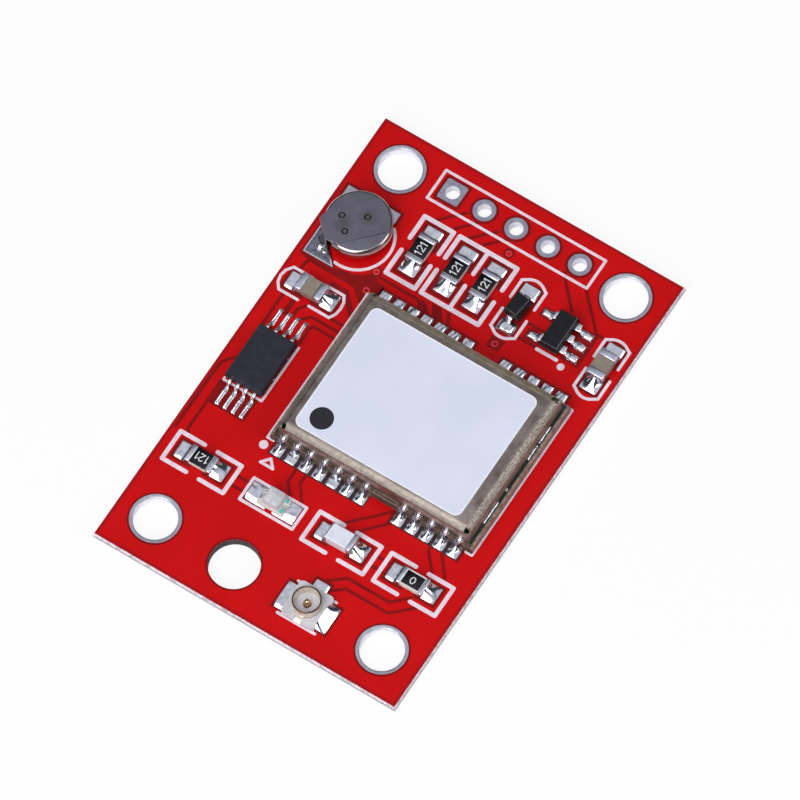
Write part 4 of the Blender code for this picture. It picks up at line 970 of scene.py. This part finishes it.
# A white band round the label: painted highlight.
bm = bmesh.new()
band(bm, rounded(low.x + 0.04, high.x - 0.04, low.y + 0.04, high.y - 0.04, 0.5), 0.08,
     high.z - 0.01, high.z + 0.006, True)
finish_piece(bm, "label_rim_painted_highlight", label_edge_highlight, "label")

# %% [markdown]
# A chip part is a small block with a dipped cap on each end, and solder climbs from the land to
# the cap. The caps are rounded boxes that wrap the ends, and each land gets its own mound. At
# the front and right ends the solder rises in a ridge, which flashes white on one side; behind
# the parts and on their left it lies flat and turns down at its rim. One cap of the inductor is
# longer than the other.

# %% Caps and solder of the chip parts
CHIP_HALF, LAND_HALF, CAP_HALF, LAND_WIDTH, OVERLAP = 1.02, 1.925, 0.645, 1.29, 0.06
# Each chip: height, direction of its first end in degrees, and how far its caps wrap.
CHIPS = {
    "resistor_1": (0.55, 90, 0.36), "resistor_2": (0.55, 90, 0.36),
    "resistor_3": (0.55, 90, 0.36), "resistor_4": (0.55, 0, 0.36),
    "resistor_5": (0.55, 0, 0.3), "capacitor_1": (0.95, 0, 0.51),
    "capacitor_2": (0.95, 90, 0.51), "inductor": (1.05, 0, 0.17),
}


def chip_middle(name):
    """The middle of a chip part, seen from above."""
    low, high = box_mm(name + "_body")
    return (low.x + high.x) / 2, (low.y + high.y) / 2


for number, (name, (tall, degrees, wrap)) in enumerate(CHIPS.items()):
    x, y = chip_middle(name)
    bm = bmesh.new()
    for end in (0, 180):
        reach = 2 * wrap if name == "inductor" and end == 0 else wrap
        block(bm, turn_to(x, y, degrees + end), (CHIP_HALF - reach, -CAP_HALF, SEAT + 0.04),
              (CHIP_HALF, CAP_HALF, SEAT + tall), 0.06)
    ends = (name + "_end_1", name + "_end_2")
    finish_piece(bm, name + "_caps", end_cap, "tin", 60, ends, True)
    bm = bmesh.new()
    for end in (0, 180):
        way = degrees + end
        place = turn_to(x, y, way) @ Matrix.Translation((CHIP_HALF - OVERLAP, 0, 0))
        length = LAND_HALF - CHIP_HALF + OVERLAP
        seed = 300 + number * 2 + end
        if way == 270 and tall < 0.9:
            rule = bell_rule(seed, 0.05, 0.36, 0.66, 4)
        elif way == 270:
            rule = bell_rule(seed, 0.1, 0.4, 0.6, 3)
        elif way == 0:
            rule = bell_rule(seed, 0.05, 0.3 * tall + 0.24, 0.7, 3, 1.2)
        else:
            rule = flat_rule(seed, length, LAND_WIDTH, wide=-1 if degrees == 90 else 1)
        mound(bm, place, length, LAND_WIDTH, SEAT, rule, (20, 22))
    finish_piece(bm, name + "_solder", solder, "tin", 60, ends)

# %% [markdown]
# A resistor is an alumina tile with a black glass window on top and a number printed on it. The
# number gives its value in a code that every maker shares. Digits are drawn with the same pen.

# %% Resistors
DIGITS = {
    "0": [arc(0, 0, 0.5, 0, 345, 23)],
    "1": [[(-0.3, 0.55), (0.05, 1.0)], [(0.05, 1.0), (0.05, -1.0)]],
    "2": [arc(0.0, 0.5, 0.5, 160, -30, 12) + [(-0.5, -0.9)], [(-0.5, -0.95), (0.55, -0.95)]],
}
VALUES = {"resistor_1": ("121", 90), "resistor_2": ("121", 90), "resistor_3": ("121", 90),
          "resistor_4": ("121", 180), "resistor_5": ("0", 0)}
DIGIT_TALL, DIGIT_PITCH, DIGIT_PEN = 0.54, 0.37, 0.075


def digit_lines(text):
    """Strokes of digits in a row about the origin, with whether each is closed."""
    lines = []
    for k, letter in enumerate(text):
        x = (k - (len(text) - 1) / 2) * DIGIT_PITCH
        for stroke in DIGITS[letter]:
            wide, tall = (0.3, 0.5 * DIGIT_TALL) if letter != "0" else (0.32, 0.47)
            lines.append((letter == "0", [(x + px * wide, py * tall) for px, py in stroke]))
    return lines


for name, (text, degrees) in VALUES.items():
    x, y = chip_middle(name)
    body = (name + "_body",)
    place = turn_to(x, y, CHIPS[name][1])
    half_x, half_y = (0.685, 0.5) if text == "0" else (0.64, 0.615)
    bm = bmesh.new()
    block(bm, place, (-0.99, -0.622, SEAT + 0.05), (0.99, 0.622, SEAT + 0.515), 0.03)
    finish_piece(bm, name + "_tile", alumina, "resistor", 50, body, True)
    bm = bmesh.new()
    block(bm, place, (-half_x, -half_y, SEAT + 0.48), (half_x, half_y, SEAT + 0.545), 0.02, 2)
    finish_piece(bm, name + "_window", resist_coat, "resistor", 50, body)
    bm = bmesh.new()
    place = turn_to(x, y, degrees)
    for k, (closed, line) in enumerate(digit_lines(text)):
        spots = [place @ Vector((px, py - 0.03, 0)) for px, py in line]
        band(bm, [(p.x, p.y) for p in spots], DIGIT_PEN, SEAT + 0.54,
             SEAT + 0.552 + HAIR * (k % 2), closed)
    finish_piece(bm, name + "_marks", mark_ink, "resistor", 50, body)

# %% [markdown]
# The capacitors are plain tan blocks and the inductor is a pale one with its long edges rounded
# in the tumbler. Their solids already have that shape.

# %% Capacitors and inductor
for name, made, slot in (("capacitor_1", titanate, "capacitor"),
                         ("capacitor_2", titanate, "capacitor"),
                         ("inductor", glazed, "coil_body")):
    softened(name + "_body", 0.0, made, slot, name + "_block")

# %% [markdown]
# The moulded packages keep their solid's taper and get a small round from the mould. The two
# small ones have pale lines along two edges that are painted highlights, and the regulator's
# case is a little narrower than its solid. Legs are tin-plated strip, bent twice. The solder
# round each foot is a mound of its own with a ridge on either side of the leg.

# %% Moulded packages and their legs
REGULATOR_SHARE, REGULATOR_SHIFT = 0.93, 0.08
case = softened("regulator_body", 0.035, epoxy, "black_package", "regulator_case")
low, high = box_mm("regulator_body")
middle = (low.x + high.x) / 2 * MM
case.data.transform(Matrix.Translation((middle - REGULATOR_SHIFT * MM, 0, 0))
                    @ Matrix.Diagonal((REGULATOR_SHARE, 1, 1, 1))
                    @ Matrix.Translation((-middle, 0, 0)))
softened("memory_chip_body", 0.035, memory_epoxy, "memory_package", "memory_case")
softened("diode_body", 0.03, epoxy, "black_package", "diode_case")
# Each package: its body, number of legs, length of the solder at a foot, and its groove.
LEGS = {"regulator": ("regulator_body", 5, 0.74, 0.0), "diode": ("diode_body", 2, 0.8, 0.1),
        "memory": ("memory_chip_body", 8, 1.25, 0.55)}


def foot_rule(seed, wide, groove):
    """Solder that buries a foot: a pillow with a groove along its middle."""
    phase = random.Random(seed).uniform(0, 6.28)

    def height(u, v):
        rim = (1 - abs(v) ** 4) * (1 - abs(2 * u - 1) ** 8)
        dip = groove * math.exp(-14 * v * v) + 0.05 * math.cos(6 * u + 4 * v + phase)
        return SEAT + 0.04 + rim * (0.12 + 0.1 * wide) * (1 - dip)

    return height


for name, (body, count, foot, groove) in LEGS.items():
    body_low, body_high = box_mm(body)
    bm = bmesh.new()
    for k in range(1, count + 1):
        node = f"{name}_lead_{k}"
        low, high = box_mm(node)
        softened(node, 0.02, leg_tin, "tin", f"{name}_leg_{k}", angle=30, sharp=60)
        x, y = (low.x + high.x) / 2, (low.y + high.y) / 2
        if name == "regulator":
            out = 0 if x > (body_low.x + body_high.x) / 2 else 180
            tip, wide = (high.x if out == 0 else low.x), high.y - low.y
            place = turn_to(tip - foot if out == 0 else tip + foot, y, out)
        else:
            out = 90 if y > (body_low.y + body_high.y) / 2 else -90
            tip, wide = (high.y if out == 90 else low.y), high.x - low.x
            place = turn_to(x, tip - foot if out == 90 else tip + foot, out)
        rule = foot_rule(500 + 17 * k, wide, groove)
        if name == "diode" and out == 90:
            rule = flat_rule(500, foot, wide, 0.0, 0.12, 0.15, -1)
        mound(bm, place, foot + 0.01, wide + 0.02, SEAT, rule, (14, 18))
        if name == "regulator":
            start, reach = (body_high.x - 0.17, 0.42) if out == 0 else (body_low.x + 0.02, 0.27)
            block(bm, turn_to(start, y, out), (0.0, -0.29, 1.2), (reach, 0.29, 1.52), 0.05)
    finish_piece(bm, name + "_foot_solder", solder, "tin", 60)

bm = bmesh.new()
for y in (-0.65, -2.44):
    block(bm, turn_to(-7.68, y, 0), (-0.05, -0.05, 1.36), (0.03, 0.05, 1.43), 0.01, 1)
finish_piece(bm, "memory_tie_bars", leg_tin, "tin", 60)
# Pale lines along the right and front edges of the diode and the regulator are painted highlights.
DIODE_TURN, HIGHLIGHT_WIDTH = -7, 0.035
bm = bmesh.new()
low, high = box_mm("diode_body")
place = turn_to((low.x + high.x) / 2, (low.y + high.y) / 2, DIODE_TURN)
spots = [place @ Vector(spot) for spot in ((0.4, 0.7, 0), (0.4, -0.7, 0), (-0.42, -0.7, 0))]
pen(bm, [(p.x, p.y) for p in spots], HIGHLIGHT_WIDTH, high.z - 0.02, high.z + 0.002)
low, high = box_mm("regulator_body")
right, front = high.x - 0.26, low.y + 0.12
pen(bm, [(right, high.y - 0.12), (right, front), (low.x + 0.15, front)], HIGHLIGHT_WIDTH,
    high.z - 0.02, high.z + 0.002)
finish_piece(bm, "package_painted_edge_highlights", epoxy_edge_highlight, "black_package")

# %% [markdown]
# The lamp is a white resin base with a milky, slightly tapered lens. The contacts are notches at
# the ends, filled with solder that also runs along the sides, and two green marks tell its
# direction.

# %% Lamp
# Each level of the lens: how far it lies inside its foot, and its height.
LENS = ((0.0, 1.15), (0.03, 1.3), (0.12, 1.72), (0.15, 1.76), (0.2, 1.78))
softened("led_base", 0.02, lamp_base, "led_base", "lamp_base")
bm = bmesh.new()
loft(bm, [at(rounded(-3.6 + s, -2.25 - 0.6 * s, -10.32 + 0.6 * s, -9.05 - 0.4 * s,
                     0.05 + 0.2 * s, 3), z) for s, z in LENS])
finish_piece(bm, "lamp_lens", lamp_lens, "led_lens", 45, ("led_lens",))
low, high = box_mm("led_base")
bm = bmesh.new()
for y in (-9.33, -10.15):
    plate(bm, rounded(-2.2, -1.96, y - 0.14, y + 0.14, 0.03, 2), high.z - 0.01, high.z + 0.012)
finish_piece(bm, "lamp_marks", teal_ink, "led_base")
LAMP_LENGTH, LAMP_WIDTH = 1.62, 1.42
bm = bmesh.new()
for way, start, front, turn, flare in ((0, -2.62, -1, 0.2, 0.45), (180, -3.22, 1, 0.5, -0.2)):
    rule = flat_rule(701 + way, LAMP_LENGTH, LAMP_WIDTH, 0.0, turn, 0.17, front, flare, 0.014)

    def under_base(u, v, rule=rule, front=front):
        """The solder stays low under the base and comes out at its end and at the front side."""
        return SEAT + 0.04 if u < 0.42 and v * front < 0.8 else rule(u, v)

    mound(bm, turn_to(start, -9.8, way), LAMP_LENGTH, LAMP_WIDTH, SEAT, under_base, (22, 24))
finish_piece(bm, "lamp_solder", solder, "tin", 60, ("led_terminal_1", "led_terminal_2"))

# %% [markdown]
# The cell is a crimped steel can with a strip spot-welded across its top and bent down to a land.
# The can is turned from a profile with a soft shoulder, and its drawn wall is brighter than its
# lid. Each weld burnt a dark ring into the strip, and the first left a brown halo. The corner
# land carries a dull pool of solder with a bright rim and two beads.

# %% Cell, strips and weld spots
can_low, can_high = box_mm("backup_cell")
can_x, can_y = (can_low.x + can_high.x) / 2, (can_low.y + can_high.y) / 2
can_r = (can_high.x - can_low.x) / 2
SHOULDER, CRIMP = 0.22, 0.45
ROUND = [(SHOULDER - SHOULDER * math.cos(t), SHOULDER - SHOULDER * math.sin(t))
         for t in (math.pi / 2 * k / 8 for k in range(9))]
bm = bmesh.new()
turned(bm, can_x, can_y, [(0.0001, can_low.z), (can_r - 0.5, can_low.z),
                          (can_r - CRIMP, can_low.z + 0.06), (can_r - CRIMP, can_low.z + 0.3),
                          (can_r - 0.16, can_low.z + 0.24), (can_r - 0.06, can_low.z + 0.32)]
       + [(can_r - inset, can_high.z - drop) for inset, drop in ROUND] + [(0.0001, can_high.z)], 96)
can = finish_piece(bm, "cell_can", cell_steel, "cell_steel", 35, ("backup_cell",), True)
can.data.materials.append(wall_steel)
for face in can.data.polygons:
    face.material_index = int(face.normal.z < 0.985)
softened("cell_top_tab", 0.03, strip_steel, "tab_steel", "cell_strip", angle=30)
softened("cell_bottom_tab", 0.03, hot_tin, "tab_steel", "cell_foot_strip", angle=30)
strip_top = box_mm("cell_top_tab")[1].z
WELDS = [(-8.47, 10.5), (-10.02, 9.73), (-9.22, 8.82)]
bm = bmesh.new()
for x, y in WELDS:
    turned(bm, x, y, [(0.26, strip_top - 0.02), (0.25, strip_top + 0.006),
                      (0.19, strip_top + 0.014), (0.13, strip_top + 0.004),
                      (0.12, strip_top - 0.02)], 24)
finish_piece(bm, "weld_spots", burnt_steel, "tab_steel", 70)
tint(strip_steel, near(strip_steel, WELDS[0] + (strip_top,), 0.75, 0.12), "#4A3C30")
tint(strip_steel, near(strip_steel, (-9.6, 9.25, strip_top), 0.8, 0.12), "#5C564C")
CORNER_LAND = [(-11.28, 6.77), (-9.02, 6.77), (-11.28, 9.18)]
heart, heart_reach = Vector((-10.597, 7.453)), 0.683
bm = bmesh.new()
loft(bm, [[(*heart.lerp(Vector(spot), 1 - inset / heart_reach), SEAT + rise)
           for spot in CORNER_LAND]
          for inset, rise in ((0.0, 0.0), (0.0, 0.09), (0.1, 0.12), (0.3, 0.075), (0.6, 0.06))])
finish_piece(bm, "corner_land_pool", dark_tin, "tin", 50)
bm = bmesh.new()
pen(bm, CORNER_LAND, 0.08, SEAT, SEAT + 0.13, True)
dome(bm, -10.5, 7.62, 0.42, SEAT + 0.02, SEAT + 0.3, squash=0.8)
dome(bm, -10.08, 7.4, 0.26, SEAT + 0.02, SEAT + 0.16, squash=0.5)
finish_piece(bm, "corner_land_solder", solder, "tin", 50)

# %% [markdown]
# The antenna socket is a thin ring of plated brass in a square nylon base, with a gold contact in
# the middle. Its feet are soldered down on each side and at the back, and a pale gold tongue
# steps down at the front.

# %% Antenna socket
SOCKET = (3.1, -14.89)
LUG, BACK_FOOT = (0.76, 2.08), (0.73, 1.08)
# Each level of the front tongue: where its front edge lies, and its height.
TONGUE = ((-16.3, 0.82), (-16.3, 1.0), (-16.05, 1.1), (-15.95, 1.28), (-15.8, 1.3))
softened("antenna_socket_housing", 0.04, socket_nylon, "socket_plastic", "socket_base", 3, 28, 50)
bm = bmesh.new()
turned(bm, *SOCKET, [(1.0, 1.17), (1.0, 1.99), (0.985, 2.04), (0.955, 2.06), (0.925, 2.04),
                     (0.91, 1.99), (0.88, 1.3), (0.86, 1.22), (0.0001, 1.22), (0.0001, 1.12),
                     (0.98, 1.12)], 64)
loft(bm, [at(rectangle(2.87, 3.42, front, front + 0.35), z) for front, z in TONGUE])
finish_piece(bm, "socket_ring", socket_shell, "socket_metal", 40, ("antenna_socket_shell",))
for name, made, slot, sharp, facets, replaced, profile in (
        ("socket_rim", dark_olive_rim, "socket_metal", 60, 64, (),
         [(1.004, 1.97), (1.002, 2.02), (0.98, 2.055), (0.955, 2.064), (0.93, 2.055),
          (0.908, 2.02), (0.906, 1.97)]),
        ("socket_floor", socket_nylon, "socket_plastic", 50, 48, (),
         ring_section(0.855, 0.0001, 1.2, 1.235)),
        ("socket_contact", gold_flash, "gold", 50, 32, ("antenna_socket_pin",),
         [(0.32, 1.22), (0.3, 1.3), (0.22, 1.36), (0.21, 1.6), (0.18, 1.72), (0.1, 1.79),
          (0.0001, 1.81), (0.0001, 1.22)])):
    bm = bmesh.new()
    turned(bm, *SOCKET, profile, facets)
    finish_piece(bm, name, made, slot, sharp, replaced)
bm = bmesh.new()
mound(bm, turn_to(1.83, -15.0, 180), *LUG, SEAT,
      flat_rule(811, *LUG, 0.0, 0.2, 0.12, crumple=0.012), (14, 24))
mound(bm, turn_to(4.4, -15.0, 0), *LUG, SEAT, bell_rule(812, 0.05, 0.45, 1.0, 6), (14, 24))
mound(bm, turn_to(3.1, -13.6, 90), *BACK_FOOT, SEAT,
      flat_rule(813, *BACK_FOOT, 0.0, wide=-1), (14, 16))
finish_piece(bm, "socket_solder", solder, "tin", 60)

# %% [markdown]
# The studio is a wide pale floor, three soft boxes and a grey room. Metal parts mirror the room:
# overhead it is mid grey, so flat tin stays grey; lower down it is dark, so slopes that miss a
# lamp turn nearly black and slopes that face one flash white. The floor is white to the camera
# and to mirrors, and keeps a little of the object's shadow. Seen from below it lets the camera
# through.

# %% Studio
FLOOR_GLOW = 0.86
LAMP_DISTANCE = 0.42


def direction(azimuth, elevation):
    """The way to a place round the board, from degrees; an azimuth of zero is its front."""
    a, e = math.radians(azimuth), math.radians(elevation)
    return Vector((math.sin(a) * math.cos(e), -math.cos(a) * math.cos(e), math.sin(e)))


def studio_floor():
    """A wide white floor that keeps a faint shadow and is clear from below."""
    made = bpy.data.materials.new("studio_floor")
    made.use_nodes = True
    tree = made.node_tree
    tree.nodes.clear()
    seen = add(tree, "LightPath")
    eyes = add(tree, "Math", {"operation": "MAXIMUM"}, _0=seen.outputs["Is Camera Ray"],
               _1=seen.outputs["Is Glossy Ray"])
    eyes = add(tree, "Math", {"operation": "MAXIMUM"}, _0=eyes.outputs[0],
               _1=seen.outputs["Is Transmission Ray"])
    share = add(tree, "Math", {"operation": "MULTIPLY"}, _0=eyes.outputs[0], _1=FLOOR_GLOW)
    matt = add(tree, "BsdfDiffuse", Color=linear("#F6F6F8"))
    glow = add(tree, "Emission", Color=(1, 1, 1, 1), Strength=1.0)
    lit = add(tree, "MixShader", Fac=share.outputs[0], _1=matt.outputs[0], _2=glow.outputs[0])
    below = add(tree, "NewGeometry").outputs["Backfacing"]
    clear = add(tree, "BsdfTransparent")
    both = add(tree, "MixShader", Fac=below, _1=lit.outputs[0], _2=clear.outputs[0])
    add(tree, "OutputMaterial", Surface=both.outputs[0])
    return made


bm = bmesh.new()
bmesh.ops.create_circle(bm, cap_ends=True, radius=6.0, segments=96)
floor_mesh = bpy.data.meshes.new("studio_floor")
bm.to_mesh(floor_mesh)
bm.free()
floor = placed("studio_floor", floor_mesh)
floor_mesh.materials.append(studio_floor())

world = bpy.data.worlds.new("studio_room")
bpy.context.scene.world = world
world.use_nodes = True
tree = world.node_tree
room = tree.nodes["Background"]
heights = add(tree, "SeparateXYZ", Vector=add(tree, "TexCoord").outputs["Generated"])
dim = ramp(tree, heights.outputs["Z"], (0.05, "#B4B8C2"), (0.25, "#383A42"), (0.74, "#383A42"),
           (0.88, "#C8C9D4"))
tree.links.new(dim, room.inputs["Color"])
room.inputs["Strength"].default_value = 1.0


def softbox(name, azimuth, elevation, size, radiance):
    """A square lamp aimed at the board, bright enough to look that radiant in a mirror."""
    lamp = bpy.data.lights.new(name, "AREA")
    lamp.shape = "SQUARE"
    lamp.size = size
    lamp.energy = radiance * math.pi * size * size
    made = placed(name, lamp)
    back = direction(azimuth, elevation)
    made.location = back * LAMP_DISTANCE
    made.rotation_euler = back.to_track_quat("Z", "Y").to_euler()
    made.visible_camera = False
    print("softbox", name, "power", round(lamp.energy, 3), "W")


softbox("front_softbox", 0, 38, 0.34, 3.0)
softbox("right_softbox", 108, 36, 0.2, 3.4)
softbox("top_front_softbox", 0, 66, 0.25, 2.9)

# %% [markdown]
# The camera stands about a metre away and looks down steeply with a long lens, which is how the
# small board was pictured. Its numbers were fitted to the board's corners and holes.

# %% Camera
AZIMUTH, ELEVATION, ROLL = 38.65, 66.05, math.radians(-6.32)
DISTANCE, FOCAL_LENGTH, SENSOR_WIDTH = 1.024, 688.5, 36
target = Vector((0.179, 0.974, 0.8)) * MM
back = direction(AZIMUTH, ELEVATION)
right = Vector((math.cos(math.radians(AZIMUTH)), math.sin(math.radians(AZIMUTH)), 0))
up = back.cross(right)
lens = bpy.data.cameras.new("portrait_lens")
lens.lens, lens.sensor_width = FOCAL_LENGTH, SENSOR_WIDTH
lens.clip_start, lens.clip_end = 0.01, 20
camera = placed("portrait_camera", lens)
turned_right = right * math.cos(ROLL) + up * math.sin(ROLL)
turned_up = up * math.cos(ROLL) - right * math.sin(ROLL)
pose = Matrix((turned_right, turned_up, back)).transposed().to_4x4()
pose.translation = target + back * DISTANCE
camera.matrix_world = pose
bpy.context.scene.camera = camera
bpy.context.scene.view_settings.view_transform = "Standard"
print("camera", round((camera.location - target).length, 3), "m away, lens", lens.lens, "mm")
